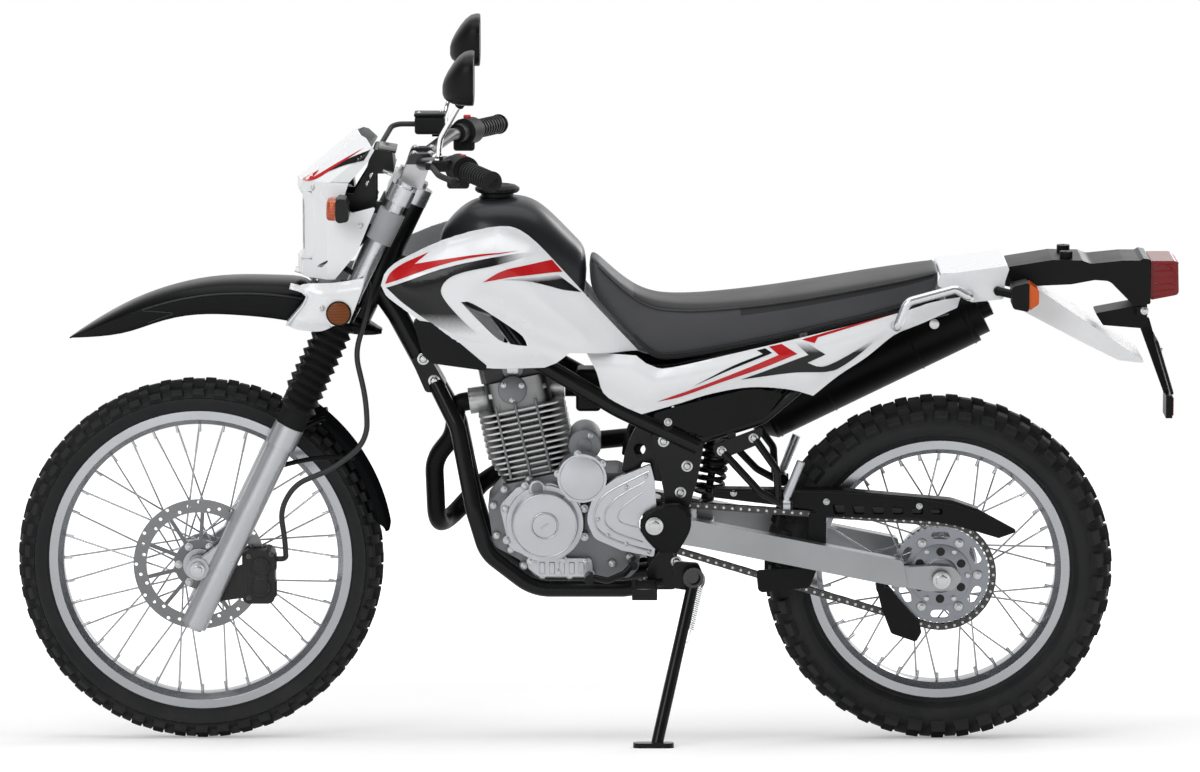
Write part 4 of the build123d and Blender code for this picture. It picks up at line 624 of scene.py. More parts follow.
def spun(bm, profile, centre, axis, steps, closed=False):
    """Spins a line of points once round an axis through a centre."""
    verts = [bm.verts.new(point) for point in profile]
    edges = [bm.edges.new(pair) for pair in zip(verts, verts[1:])]
    if closed:
        edges.append(bm.edges.new((verts[-1], verts[0])))
    bmesh.ops.spin(bm, geom=verts + edges, cent=centre, axis=axis, angle=2 * math.pi, steps=steps, use_merge=True)


def squarer(t, power):
    """A sine or cosine pushed towards 1, which turns a circle into a rounded rectangle."""
    return math.copysign(abs(t) ** power, t)


def bevelled(bm, edges, width, segments=2):
    bmesh.ops.bevel(bm, geom=edges, offset=width, segments=segments, profile=0.5, affect="EDGES", material=-1)


def tube_into(bm, points, radius, closed=False, smooth=True, sides=10):
    """Adds a round tube along points, in upright millimetres."""
    curve = bpy.data.curves.new("tube_line", "CURVE")
    curve.dimensions = "3D"
    curve.bevel_depth = radius
    curve.bevel_resolution = max(sides // 4, 1)
    curve.use_fill_caps = not closed
    spline = curve.splines.new("NURBS" if smooth else "POLY")
    spline.points.add(len(points) - 1)
    for p, point in zip(spline.points, points):
        p.co = (*point, 1.0)
    if smooth:
        spline.order_u = 3
        spline.use_endpoint_u = not closed
        spline.resolution_u = 8
    spline.use_cyclic_u = closed
    holder = bpy.data.objects.new("tube_line", curve)
    mesh = bpy.data.meshes.new_from_object(holder)
    bm.from_mesh(mesh)
    bpy.data.objects.remove(holder)
    bpy.data.curves.remove(curve)
    bpy.data.meshes.remove(mesh)


def edges_at(verts):
    """Every edge that meets these corners, once each and in the same order in each run."""
    return list(dict.fromkeys(e for v in verts for e in v.link_edges))


def disc_into(bm, centre, toward, radius, height, sides=24, top=1.0, chamfer=0.0):
    """Adds a round (or hexagonal) boss standing on centre along a direction."""
    toward = Vector(toward).normalized()
    turn = Vector((0, 0, 1)).rotation_difference(toward).to_matrix().to_4x4()
    place = Matrix.Translation(Vector(centre) + toward * height / 2) @ turn
    made = bmesh.ops.create_cone(bm, cap_ends=True, segments=sides, radius1=radius, radius2=radius * top, depth=height,
                                 matrix=place)
    if chamfer:
        rim = [e for e in edges_at(made["verts"])
               if all((v.co - Vector(centre)).dot(toward) > height * 0.9 for v in e.verts)]
        bevelled(bm, rim, chamfer)


def bolt_into(bm, centre, toward, radius=6.0, kind="hex"):
    """Adds a fastener: a flange washer with a hexagonal or a domed socket head."""
    toward = Vector(toward).normalized()
    centre = Vector(centre)
    disc_into(bm, centre - toward * 0.5, toward, radius * 1.5, 2.0, 20, chamfer=0.4)
    if kind == "hex":
        disc_into(bm, centre + toward * 1.4, toward, radius, radius * 0.75, 6, chamfer=0.5)
    else:
        disc_into(bm, centre + toward * 1.4, toward, radius, radius * 0.6, 20, top=0.72, chamfer=0.6)
        disc_into(bm, centre + toward * (1.4 + radius * 0.6), toward, radius * 0.42, 0.25, 6)


def box_into(bm, centre, size, bevel=1.5, turn=None, segments=2):
    """Adds a block with rounded edges."""
    place = Matrix.Translation(Vector(centre)) @ (turn or Matrix.Identity(4)) @ Matrix.Diagonal((*size, 1.0))
    made = bmesh.ops.create_cube(bm, size=1.0, matrix=place)
    if bevel:
        bevelled(bm, edges_at(made["verts"]), bevel, segments)


# ---------------------------------------------------------------- tyres
def crown(radius, lug, width, y):
    """Radius of the tread's foot at a place across the tyre."""
    t = min(abs(y) / (width / 2), 0.995)
    return radius - lug - 0.36 * width * (1 - math.sqrt(1 - t * t))


def knobbly(where, axle, radius, width, rim_r, rim_w, lug, pitches, rows, steps):
    """A tyre spun from its section, with rows of tapered knobs on both sides of the tread's middle.

    rim_r and rim_w are the rim's radius and width, lug is the knobs' height over the tread's foot.
    """
    bm = bmesh.new()
    half = width / 2
    side_wall = [(rim_r - 12, rim_w / 2 - 5), (rim_r - 3, rim_w / 2 - 1.5), (rim_r + 3, rim_w / 2 + 1),
                 (rim_r + 5, rim_w / 2 + 4), (rim_r + 8, rim_w / 2 + 4.5), (rim_r + 16, half * 0.93),
                 (rim_r + 24, half * 0.985), (rim_r + 27, half * 0.995)]
    tread = [(crown(radius, lug, width, half * t), half * t) for t in (0.985, 0.93, 0.82, 0.66, 0.48, 0.25)]
    section = side_wall + tread
    line = section + [(crown(radius, lug, width, 0), 0.0)] + [(r, -y) for r, y in reversed(section)]
    spun(bm, [(axle[0], y, axle[1] + r) for r, y in line], (axle[0], 0, axle[1]), (0, 1, 0), steps, closed=True)
    centre = Vector((axle[0], 0, axle[1]))
    for row_y, across, along, splay, phase, tall in rows:
        foot = crown(radius, lug, width, row_y)
        for side, _ in SIDES:
            for i in range(pitches):
                turn = 2 * math.pi * (i + phase + (0.5 if side > 0 else 0.0)) / pitches
                outward = Matrix.Translation((0, side * row_y, foot))
                base = Matrix.Translation(centre) @ Matrix.Rotation(turn, 4, "Y") @ outward
                lean = Matrix.Rotation(-math.radians(splay) * side, 4, "X")
                size = Matrix.Translation((0, 0, (tall - 3) / 2)) @ Matrix.Diagonal((along, across, tall + 3, 1))
                knob_into(bm, base @ lean @ size, centre)
    placed(f"{where}_knobbly_tyre", bm, f"{where}_wheel", tyre, smooth=38.0, stand_for=(f"{where}_tyre",))


def knob_into(bm, place, centre):
    """A block with a smaller, rounded top; its foot is sunk in the tread."""
    made = bmesh.ops.create_cube(bm, size=1.0, matrix=place)["verts"]
    top = sorted(made, key=lambda v: -((v.co - centre).length))[:4]
    middle = sum((v.co for v in top), Vector()) / 4
    for v in top:
        v.co = middle + (v.co - middle) * 0.84
    rim = [e for e in edges_at(top) if all(v in top for v in e.verts)]
    bevelled(bm, rim, 1.3, 1)


# each row of knobs: place across, width, length, splay in degrees, phase in pitches, height
FRONT_KNOBS = [(8.5, 13.5, 23.0, 4.0, 0.0, 10.0), (23.5, 12.5, 20.0, 22.0, 0.5, 10.0),
               (34.5, 13.0, 25.0, 50.0, 0.0, 9.5)]
REAR_KNOBS = [(13.0, 21.0, 26.0, 3.0, 0.0, 12.0), (35.0, 18.0, 24.0, 20.0, 0.5, 12.0),
              (51.5, 18.0, 29.0, 47.0, 0.0, 12.0)]
knobbly("front", FRONT_AXLE, radius=337.0, width=80.0, rim_r=279.0, rim_w=51.0, lug=10.0, pitches=50, rows=FRONT_KNOBS,
        steps=100)
knobbly("rear", REAR_AXLE, radius=321.0, width=120.0, rim_r=241.0, rim_w=66.0, lug=12.0, pitches=42, rows=REAR_KNOBS,
        steps=96)


# ---------------------------------------------------------------- panels and their stripes
def closed(runs):
    """Gives each run of an outline the corner that it shares with the run before."""
    return [[before[-1], *run] for before, run in zip(runs[-1:] + runs, runs)]


def flowing(runs, step=9.0):
    """A closed outline from runs of (x, z) that meet at corners; each run is a smooth curve through its points."""
    outline = []
    for run in runs:
        points = [Vector(p) for p in run]
        for i in range(len(points) - 1):
            a, b = points[i], points[i + 1]
            before = points[i - 1] if i else a - (b - a)
            after = points[i + 2] if i + 2 < len(points) else b + (b - a)
            count = max(int((b - a).length / step), 1) if len(points) > 2 else 1
            for j in range(count):
                t = j / count
                outline.append(0.5 * ((2 * a) + (b - before) * t + (2 * before - 5 * a + 4 * b - after) * t ** 2
                                      + (3 * a - before - 3 * b + after) * t ** 3))
    return outline


def arc_half_width(rows, x):
    """Half width at x of the arc through three plan points (x, half width)."""
    (xa, ya), (xb, yb), (xc, yc) = rows
    d = 2 * (xa * (yb - yc) + xb * (yc - ya) + xc * (ya - yb))
    sa, sb, sc = xa * xa + ya * ya, xb * xb + yb * yb, xc * xc + yc * yc
    cx = (sa * (yb - yc) + sb * (yc - ya) + sc * (ya - yb)) / d
    cy = (sa * (xc - xb) + sb * (xa - xc) + sc * (xb - xa)) / d
    return cy + math.sqrt(max((xa - cx) ** 2 + (ya - cy) ** 2 - (x - cx) ** 2, 0.0))


def from_line(rows, x, z):
    """Distance in the side view from a row of points."""
    best = 1e9
    p = Vector((x, z))
    for a, b in zip(rows, rows[1:]):
        a, b = Vector(a), Vector(b)
        t = max(0.0, min(1.0, (p - a).dot(b - a) / (b - a).length_squared))
        best = min(best, (p - a - (b - a) * t).length)
    return best


def dip(rows, x, z, depth, reach):
    """How far a skin falls off near a row of points."""
    return depth * math.exp(-(from_line(rows, x, z) / reach) ** 2)


SHROUD_PLAN = [(-350, 151), (-190, 159), (150, 100)]
COVER_PLAN = [(0, 96), (330, 124), (760, 92)]
SHROUD_TOP = [(-318, 908), (-240, 942), (-125, 974), (-60, 944), (126, 736)]
SHROUD_FOOT = [(-341, 866), (-228, 774), (-140, 716), (-40, 716)]
SHROUD_CREASE = [(-150, 845), (-60, 790), (20, 755)]
COVER_TOP = [(30, 738), (122, 732), (158, 709), (300, 738), (600, 812), (712, 838)]
COVER_FOOT = [(60, 662), (132, 624), (200, 645), (330, 676), (444, 660), (480, 690), (582, 764), (618, 782)]
INSIDE_CAD = 0.4                   # how far a skin stays inside the solid's outline


def shroud_skin(x, z):
    ramp = max(0.0, min(1.0, (x + 335) / 110))
    y = arc_half_width(SHROUD_PLAN, x) - INSIDE_CAD - dip(SHROUD_TOP, x, z, ramp * 38, 34)
    return y - dip(SHROUD_FOOT, x, z, 5, 16) - dip(SHROUD_CREASE, x, z, ramp * 5, 24)


def cover_skin(x, z):
    return arc_half_width(COVER_PLAN, x) - INSIDE_CAD - dip(COVER_TOP, x, z, 7, 15) - dip(COVER_FOOT, x, z, 6, 18)


def sliced(bm, step):
    """Cuts a flat face in the side view into small pieces, so that it can follow a curved panel."""
    skip = 0.2
    for axis, normal in ((0, (1, 0, 0)), (2, (0, 0, 1))):
        low = min(v.co[axis] for v in bm.verts)
        high = max(v.co[axis] for v in bm.verts)
        cut = math.ceil((low + skip) / step) * step
        while cut < high - skip:
            at = Vector(normal) * cut
            bmesh.ops.bisect_plane(bm, geom=bm.verts[:] + bm.edges[:] + bm.faces[:], plane_co=at, plane_no=normal,
                                   dist=0.01)
            cut += step


def skin_piece(outlines, step, skin, side):
    """A flat shape in the side view, holes and all, laid on a skin and facing outwards."""
    bm = bmesh.new()
    edges = []
    for outline in outlines:
        edges += ring_edges(bm, [bm.verts.new((x, 0, z)) for x, z in outline])
    bmesh.ops.triangle_fill(bm, use_beauty=True, use_dissolve=False, edges=edges)
    sliced(bm, step)
    for v in bm.verts:
        v.co.y = side * skin(v.co.x, v.co.z)
    for face in bm.faces:
        face.normal_update()
        if face.normal.y * side < 0:
            face.normal_flip()
    return bm


def panel(name, body, material, outline, skin, side, holes=(), thick=3.4, step=8.0, stand_for=(),
          bevel=1.1):
    """A curved body panel: an outline in the side view laid on a skin, given a wall inwards and rounded edges."""
    bm = skin_piece([outline, *holes], step, skin, side)
    obj = placed(name, bm, body, material, smooth=50, outward=False, stand_for=stand_for)
    walled(obj, thick).use_even_offset = True
    rounded_edges(obj, bevel, 50)


def stripe(name, body, ink, runs, skin, side, lift=0.6, step=8.0):
    """A printed stripe, laid on a panel's skin."""
    bm = skin_piece([flowing(closed(runs), 7.0)], step, lambda x, z: skin(x, z) + lift, side)
    placed(name, bm, body, ink, smooth=60, outward=False)


def cad_skin(node):
    """Half width of a CAD node's outer face at a place in the side view."""
    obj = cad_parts[node]
    points = [UPRIGHT_AGAIN @ (obj.matrix_world @ v.co) for v in obj.data.vertices]
    tree = BVHTree.FromPolygons(points, [tuple(p.vertices) for p in obj.data.polygons])

    def skin(x, z):
        hit = tree.ray_cast(Vector((x, -400, z)), Vector((0, 1, 0)))[0]
        if hit is None or hit.y > -20:
            hit = tree.find_nearest(Vector((x, -110, z)))[0]
        return -hit.y
    return skin


SHROUD = flowing(closed([[(-335, 888), (-316, 908), (-280, 926), (-240, 943), (-180, 962), (-125, 972), (-92, 965),
                          (-60, 942), (-10, 888), (50, 820), (126, 736)], [(0, 742)], [(-24, 724), (-45, 716)],
                         [(-135, 716), (-160, 724), (-228, 774), (-300, 825), (-332, 850), (-341, 868)]]), 12.0)
SHROUD_VENT = flowing(closed([[(-184, 840), (-160, 828), (-120, 802), (-84, 775), (-76, 757)],
                              [(-100, 760), (-128, 770), (-165, 806), (-196, 839)]]), 9.0)
COVER = flowing(closed([[(122, 732)], [(140, 718), (160, 710), (190, 712), (300, 738), (450, 774), (600, 811),
                                       (660, 829), (712, 838)], [(706, 820)], [(660, 800), (618, 782)],
                        [(590, 770), (540, 730), (490, 697), (444, 660)],
                        [(400, 672), (330, 676), (260, 664), (200, 645), (132, 624)],
                        [(95, 640), (62, 662), (50, 700), (30, 738)]]), 12.0)
black_fade_back = fading("black_fade_back", "X", -0.140, -0.058)
black_fade_down = fading("black_fade_down", "Z", 0.822, 0.772)
black_fade_up = fading("black_fade_up", "Z", 0.872, 0.886)
black_fade_cover = fading("black_fade_cover", "Z", 0.738, 0.764)
BODY_STRIPES = [
    ("shroud_red_sweep", stripe_red, shroud_skin,
     [[(-324, 891), (-300, 908), (-254, 927)], [(-280, 906.5)], [(-227, 915), (-160, 925), (-90, 930)],
      [(-160, 921.5), (-210, 911.5), (-260, 896.5), (-310, 878.5), (-333, 871)]]),
    ("shroud_black_field", black_fade_down, shroud_skin,
     [[(-293, 877), (-243, 895), (-193, 908.5), (-140, 919.5)], [(-140, 904)],
      [(-193, 893), (-221, 880), (-232, 860), (-223, 840), (-200, 813), (-173, 787), (-147, 767)],
      [(-175, 769), (-205, 779), (-240, 795)], [(-262, 808), (-303, 838), (-331, 864)]]),
    ("shroud_black_tail", black_fade_back, shroud_skin,
     [[(-100, 924.5), (-52, 926)], [(-95, 915), (-140, 904)], [(-140, 919.5)]]),
    ("shroud_red_dart", stripe_red, shroud_skin,
     [[(-126, 893), (-93, 902), (-31, 909)], [(-12, 886.5)], [(-60, 887), (-100, 884.5), (-130, 879.5), (-156, 875)]]),
    ("shroud_black_dart", black_fade_up, shroud_skin,
     [[(-76, 882), (-20, 882)], [(22, 848)], [(-9.6, 855), (-43, 867), (-76, 876), (-120, 879.3)]]),
    ("cover_red_blade", stripe_red, cover_skin,
     [[(238, 677.6), (311, 707), (381, 736.5)], [(363, 751)], [(386, 756)], [(415, 738.5)],
      [(348, 711), (275, 685), (201, 657.3), (159, 648)]]),
    ("cover_black_barb", stripe_black, cover_skin,
     [[(293, 714), (352, 738)], [(341, 744)], [(356, 748)], [(369, 740)], [(293, 709), (225, 677.6)]]),
    ("cover_black_wing", black_fade_cover, cover_skin,
     [[(367, 711), (414, 729), (435, 736.5)], [(407, 762)], [(424, 764)], [(466, 737)], [(433, 722)],
      [(459, 714.5), (496, 729), (566, 770)], [(530, 738), (496, 714), (470, 705), (404, 703.5), (312, 690.5)]]),
    ("cover_red_line", stripe_red, cover_skin,
     [[(496, 785), (600, 812), (623, 819)], [(560, 800), (496, 781), (452, 768)], [(446, 758)], [(422, 764)]]),
]
VISOR_STRIPES = [
    ("visor_red_line", stripe_red,
     [[(-466, 1062), (-454.5, 1068.8)], [(-466, 1055)], [(-411, 1089), (-371, 1112.6)],
      [(-414, 1083), (-462, 1052), (-486, 1049)]]),
    ("visor_black_line", stripe_black,
     [[(-403, 1090), (-360, 1110)], [(-372, 1090)], [(-405, 1081), (-440, 1066)]]),
]

for side, where in SIDES:
    panel(f"tank_shroud_{where}", "root", white_plastic, SHROUD, shroud_skin, side,
          holes=[SHROUD_VENT], thick=3.6, stand_for=("tank_shrouds",))
    panel(f"side_cover_{where}", "root", white_plastic, COVER, cover_skin, side,
          stand_for=("side_covers",))
    for name, ink, skin, runs in BODY_STRIPES:
        stripe(f"{name}_{where}", "root", ink, runs, skin, side)

mask_skin = cad_skin("headlight_mask")
for side, where in SIDES:
    for name, ink, runs in VISOR_STRIPES:
        stripe(f"{name}_{where}", "steering", ink, runs, mask_skin, side, lift=1.3, step=5.0)


# ---------------------------------------------------------------- lamp surround, fender bridge, mudguard skirts
LAMP_Z = 967.0
SURROUND_ROWS = [(-495.0, 85.5, 65.6, 1.0), (-498.0, 84.0, 64.8, 1.0), (-498.6, 79.0, 63.4, 1.0),
                 (-497.0, 71.0, 61.2, 0.9), (-491.0, 65.5, 59.9, 0.6), (-483.0, 62.4, 59.2, 0.25),
                 (-475.0, 61.0, 58.5, 0.0)]


def surround_ring(bm, x, wide, tall, wrap):
    """A rounded rectangle round the headlight; wrap bends its sides back like the mask, which turns at flat_half."""
    verts = []
    flat_half = 62
    for a in around(48, math.pi / 48):
        y = squarer(math.cos(a), 2 / 7) * wide
        back = 11 * (min(abs(y), flat_half) / flat_half) ** 2 + 1.095 * max(abs(y) - flat_half, 0)
        verts.append(bm.verts.new((x + wrap * back, y, LAMP_Z + squarer(math.sin(a), 2 / 7) * tall)))
    return ring_edges(bm, verts)


def make_lamp_surround():
    bm = bmesh.new()
    skinned(bm, [surround_ring(bm, *row) for row in SURROUND_ROWS], capped=False)
    bmesh.ops.recalc_face_normals(bm, faces=bm.faces)
    turned_over(bm, lambda face: -face.normal.x)
    walled(placed("headlight_surround", bm, "steering", white_plastic, smooth=50, outward=False), 2.4)


BRIDGE_FRONT = [[(-512, 791), (-496, 810), (-481, 829), (-474, 845)], [(-474, 845), (-484, 855), (-507, 862)]]
BRIDGE_RUNS = [[(-507, 862), (-490, 863), (-474, 868), (-424, 870), (-371, 878.5)],
               [(-371, 878.5), (-375, 860), (-384, 835), (-393, 812), (-399, 797)],
               [(-399, 797), (-420, 795), (-440, 784), (-462, 780), (-500, 785), (-512, 791)]] + BRIDGE_FRONT
BRIDGE_NOSE = [(-512, 791), (-474, 845), (-507, 862)]
BRIDGE_Y = 135.6
WEB_DEPTHS = (133.0, 118.0, 96.0, 77.0)


def bridge_skin(x, z):
    """The bridge plate rolls in along its top, foot and nose, and stays flat round the reflector."""
    y = BRIDGE_Y - dip(BRIDGE_RUNS[0], x, z, 9, 13) - dip(BRIDGE_RUNS[2], x, z, 8, 12) - dip(BRIDGE_NOSE, x, z, 5, 14)
    away = math.dist((x, z), REFLECTOR)
    return y if away > 27 else max(y, BRIDGE_Y - 0.02 * max(away - 22, 0))


def make_bridge():
    for side, where in SIDES:
        panel(f"fender_bridge_{where}", "steering", white_plastic, flowing(BRIDGE_RUNS, 7.0),
              bridge_skin, side, step=6.0, stand_for=("fender_bridge",))
        bm = bmesh.new()
        path = flowing(BRIDGE_FRONT, 7.0) + [Vector(BRIDGE_FRONT[-1][-1])]
        strips_into(bm, [[bm.verts.new((p.x, side * y, p.y)) for p in path] for y in WEB_DEPTHS])
        walled(placed(f"bridge_web_{where}", bm, "steering", white_plastic), 3.0)


# each row of the high fender: x, then the height of its top, of its crease and of its foot, and half its width
FENDER_ROWS = [(-918, 749.5, 749, 748.5, 3), (-900, 762, 757, 751, 16), (-880, 775, 767, 754, 30),
               (-840, 799, 789, 759, 45), (-800, 820, 802, 768, 53), (-760, 836, 815, 784, 58),
               (-720, 848, 827, 796, 62), (-680, 857, 835, 802, 66), (-640, 862, 840, 803, 69),
               (-600, 864, 841, 801, 72), (-560, 863, 840.5, 798, 74), (-520, 862, 837, 793, 75.5),
               (-492, 861, 833, 786, 75.5), (-474, 852, 824, 782, 72), (-456, 832, 806, 777, 58),
               (-410, 804, 786, 766, 57), (-372, 783, 770, 759, 48), (-344, 766, 761, 758, 18)]
# across it: part of the half width, and how far down, 1 at the crease and 2 at the foot
FENDER_HALF = [(0.0, 0), (0.35, 0.03), (0.62, 0.14), (0.82, 0.38), (0.94, 0.72), (1.0, 1.0), (1.0, 1.1), (0.985, 1.5),
               (0.965, 2.0)]
MUDGUARD_HALF = [(0.0, 355.0), (34, 354.8), (50, 354.0), (56.5, 351.5), (58.0, 347.5)]
# a crease along the high fender as (x, z, y), and the outline of the scoop in its flank as (x, y, z)
FENDER_CREASE = [(-780, 808.5, 55.8), (-745, 820.5, 59.8), (-700, 831.5, 64.2), (-650, 839.5, 68.5),
                 (-600, 841.6, 72.2), (-560, 841.0, 74.2), (-520, 837.6, 75.8), (-486, 832, 75.3)]
FENDER_SCOOP = [(-780, 55.2, 807), (-750, 59.2, 805.5), (-718, 62.2, 804), (-738, 60.2, 797), (-770, 56.2, 785)]


def make_high_fender():
    bm = bmesh.new()
    rows = []
    for x, top, crease, foot, half in FENDER_ROWS:
        points = []
        for across, down in FENDER_HALF:
            z = top + (crease - top) * down if down <= 1.0 else crease + (foot - crease) * (down - 1.0)
            points.append((half * across, z))
        rows.append([bm.verts.new((x, y, z)) for y, z in mirrored(points)])
    strips_into(bm, rows)
    turned_over(bm, lambda face: face.normal.z)
    high = placed("high_fender", bm, "steering", fender_black, subdivisions=1, outward=False,
                  stand_for=("front_fenders",))
    walled(high, 3.0)


def make_mudguard():
    """The small guard behind the front tyre, whose side skirts deepen towards its ends, and its stays."""
    bm = bmesh.new()
    ax, az = FRONT_AXLE
    axle = Vector((ax, 0, az))
    rows = []
    spans = 28
    for i in range(spans + 1):
        a = math.radians(10 + 45 * i / spans)
        low = 336 + 12 * (i / spans) ** 2 if i > 1 else 336 + 8 * (2 - i)
        points = MUDGUARD_HALF + [(57.8, (347 + low) / 2), (57.2, low)]
        rows.append([bm.verts.new((ax + r * math.cos(a), y, az + r * math.sin(a))) for y, r in mirrored(points)])
    strips_into(bm, rows)
    turned_over(bm, lambda face: (face.calc_center_median() - axle).dot(face.normal))
    walled(placed("front_mudguard", bm, "steering", mudguard_black, outward=False), 2.4)
    stays = bmesh.new()
    for side, _ in SIDES:
        top = on_fork(252, 25, side * (LEG_Y - 10))
        tube_into(stays, [top, top + Vector((16, side * -16, 8)), (ax + 212, side * 55, az + 266),
                          (ax + 232, side * 50, az + 268)], 6.0)
        tube_into(stays, [on_fork(205, 25, side * (LEG_Y - 12)), (ax + 214, side * 70, az + 210),
                          (ax + 286, side * 57, az + 196)], 4.5)
    placed("mudguard_stays", stays, "steering", black_plastic, smooth=60)


# The crease and scoop ridges follow the fender's own shape, but they are drawn in the lighter tank grey rather than the
# fender's black: that lighter colour is a painted highlight along them.
def make_fender_crease_highlights():
    bm = bmesh.new()
    for side, _ in SIDES:
        tube_into(bm, [(x, side * (y + 0.1), z) for x, z, y in FENDER_CREASE], 1.9)
        tube_into(bm, [(x, side * y, z) for x, y, z in FENDER_SCOOP], 1.3)
    placed("fender_crease_highlights", bm, "steering", dark_grey_tank, smooth=60)


def mirrored(points):
    """A half section (y, z) from its middle outwards, made whole."""
    return [(-y, z) for y, z in reversed(points[1:])] + points


make_lamp_surround()
make_bridge()
make_high_fender()
make_mudguard()
make_fender_crease_highlights()


# ---------------------------------------------------------------- lofted forms: seat and tank
SEAT_HALF_RING = [(0.0, 0.0), (0.62, 0.0), (0.93, 0.02), (1.0, 0.20), (1.015, 0.45), (0.985, 0.72), (0.93, 0.90),
                  (0.80, 0.985), (0.5, 1.0), (0.22, 1.005)]
# each row of the seat and the tank: x, the height of its underside, of its top, and half its width
SEAT_ROWS = [(36, 852, 908, 50), (52, 824, 900, 58), (80, 792, 872, 64), (118, 752, 842, 70), (152, 716, 829, 76),
             (182, 716, 825, 82), (230, 724, 824, 92), (310, 742, 830, 102), (400, 763, 841, 108), (480, 783, 854, 108),
             (560, 801, 868, 104), (630, 824, 879, 94), (668, 846, 885, 82), (673, 856, 882, 76)]
TANK_ROWS = [(-240, 858, 938, 30), (-226, 836, 962, 48), (-190, 806, 1000, 78), (-150, 794, 1011, 92),
             (-100, 792, 1013, 95), (-60, 796, 1004, 92), (-20, 806, 966, 82), (10, 816, 934, 68), (32, 828, 914, 56)]
TANK_HALF_RING = [(0.0, 0.0), (0.6, 0.0), (0.94, 0.06), (1.0, 0.28), (1.0, 0.55), (0.95, 0.78), (0.80, 0.92),
                  (0.5, 0.985), (0.22, 1.0)]
CAP_X = -132
# the fuel cap's section: radius and height
CAP_PROFILE = [(0, 1034), (20, 1033.5), (34, 1031), (40, 1027), (40.5, 1022), (38, 1019), (30, 1018), (30, 1012),
               (33, 1010), (33, 1004), (0, 1004)]


def loft_into(bm, rows, half_ring):
    """A closed body through sections that share one outline, stretched to each row's height and width."""
    rings = []
    for x, z_low, z_high, half in rows:
        right = [(half * a, z_low + (z_high - z_low) * b) for a, b in half_ring]
        section = right + [(0, z_high)] + [(-y, z) for y, z in reversed(right[1:])]
        rings.append(ring_edges(bm, [bm.verts.new((x, y, z)) for y, z in section]))
    skinned(bm, rings)


def make_seat():
    bm = bmesh.new()
    loft_into(bm, SEAT_ROWS, SEAT_HALF_RING)
    bmesh.ops.recalc_face_normals(bm, faces=bm.faces)
    for face in bm.faces:
        face.normal_update()
        middle = face.calc_center_median()
        _, z_low, z_high, _ = min(SEAT_ROWS, key=lambda row: abs(row[0] - middle.x))
        on_top = middle.z > z_low + (z_high - z_low) * 0.86 and abs(face.normal.x) < 0.95
        face.material_index = 1 if on_top else 0
    obj = placed("seat_cushion", bm, "root", [seat_side_vinyl, seat_top_vinyl], subdivisions=2,
                 stand_for=("seat",))
    piping = bmesh.new()
    for side, _ in SIDES:
        for rows, across, up, radius in ((SEAT_ROWS[1:-1], 0.955, 0.865, 1.7), (SEAT_ROWS[3:-1], 1.004, 0.14, 1.2)):
            line = [(x, side * (half * across), z_low + (z_high - z_low) * up) for x, z_low, z_high, half in rows]
            tube_into(piping, line, radius)
    placed("seat_piping", piping, "root", seat_top_vinyl, smooth=60)


def make_tank():
    bm = bmesh.new()
    loft_into(bm, TANK_ROWS, TANK_HALF_RING)
    placed("fuel_tank_shell", bm, "root", dark_grey_tank, subdivisions=2, stand_for=("fuel_tank",))
    cap = bmesh.new()
    spun(cap, [(CAP_X + r, 0, z) for r, z in CAP_PROFILE], (CAP_X, 0, 0), UP, 40)
    for a in around(20):
        x, y = polar((CAP_X, 0), 39.5, a)
        box_into(cap, (x, y, 1024), (2.5, 2.5, 6), 0.6, Matrix.Rotation(a, 4, "Z"), 1)
    box_into(cap, (CAP_X, 0, 1033), (44, 9, 3.0), 1.0)
    placed("fuel_cap", cap, "root", black_plastic)


make_seat()
make_tank()


# ---------------------------------------------------------------- pivot guard and engine plates
GUARD_RUNS = [[(174, 462), (200, 463)], [(200, 463), (215, 453), (222, 436), (220, 412), (207, 386), (196, 370)],
              [(196, 370), (166, 370)], [(166, 370), (150, 384), (134, 404), (129, 421), (134, 438), (150, 452),
                                         (174, 462)]]
BRACKET_RUNS = [[(96, 516), (101, 548), (112, 580), (130, 610)], [(130, 610), (158, 594)],
                [(158, 594), (166, 560), (170, 520), (168, 496)], [(168, 496), (140, 500), (118, 504), (96, 516)]]


def guard_skin(x, z):
    """A shallow plate with rounded borders and a rib inside them."""
    away = min(from_line(run, x, z) for run in GUARD_RUNS)
    return 129.0 - 3.0 * math.exp(-(away / 2.6) ** 2) + 1.2 * math.exp(-((away - 6.5) / 2.4) ** 2)


def flat_skin(_x, _z):
    return 88.0


def hole(x, z, radius):
    return [Vector(polar((x, z), radius, a)) for a in around(28)]


def make_frame_covers():
    """The moulded guard over the left end of the swingarm's pivot, and the engine's rear mounting plates."""
    panel("pivot_guard", "root", black_plastic, flowing(GUARD_RUNS, 5.0), guard_skin, -1,
          holes=[hole(*PIVOT, 17.0)], thick=3.0, step=4.0, bevel=0.7)
    boss = bmesh.new()
    disc_into(boss, (PIVOT[0], -125.0, PIVOT[1]), LEFTWARDS, 20.0, 4.0, 40, top=0.94, chamfer=0.8)
    for x, z in ((192, 451), (177, 379)):
        disc_into(boss, (x, -95.0, z), LEFTWARDS, 7.0, 32.0, 24)
    placed("pivot_boss", boss, "root", frame_black)
    for side, where in SIDES:
        panel(f"engine_bracket_{where}", "root", frame_black, flowing(BRACKET_RUNS, 6.0), flat_skin,
              side, holes=[hole(128, 556, 11.0), hole(140, 524, 9.0)], thick=4.0, step=40.0, bevel=0.8)


make_frame_covers()


# ---------------------------------------------------------------- lamps
DOME_ROWS = [(1.0, 0.0), (1.0, 0.45), (0.96, 0.72), (0.86, 0.9), (0.62, 0.98), (0.3, 1.0)]


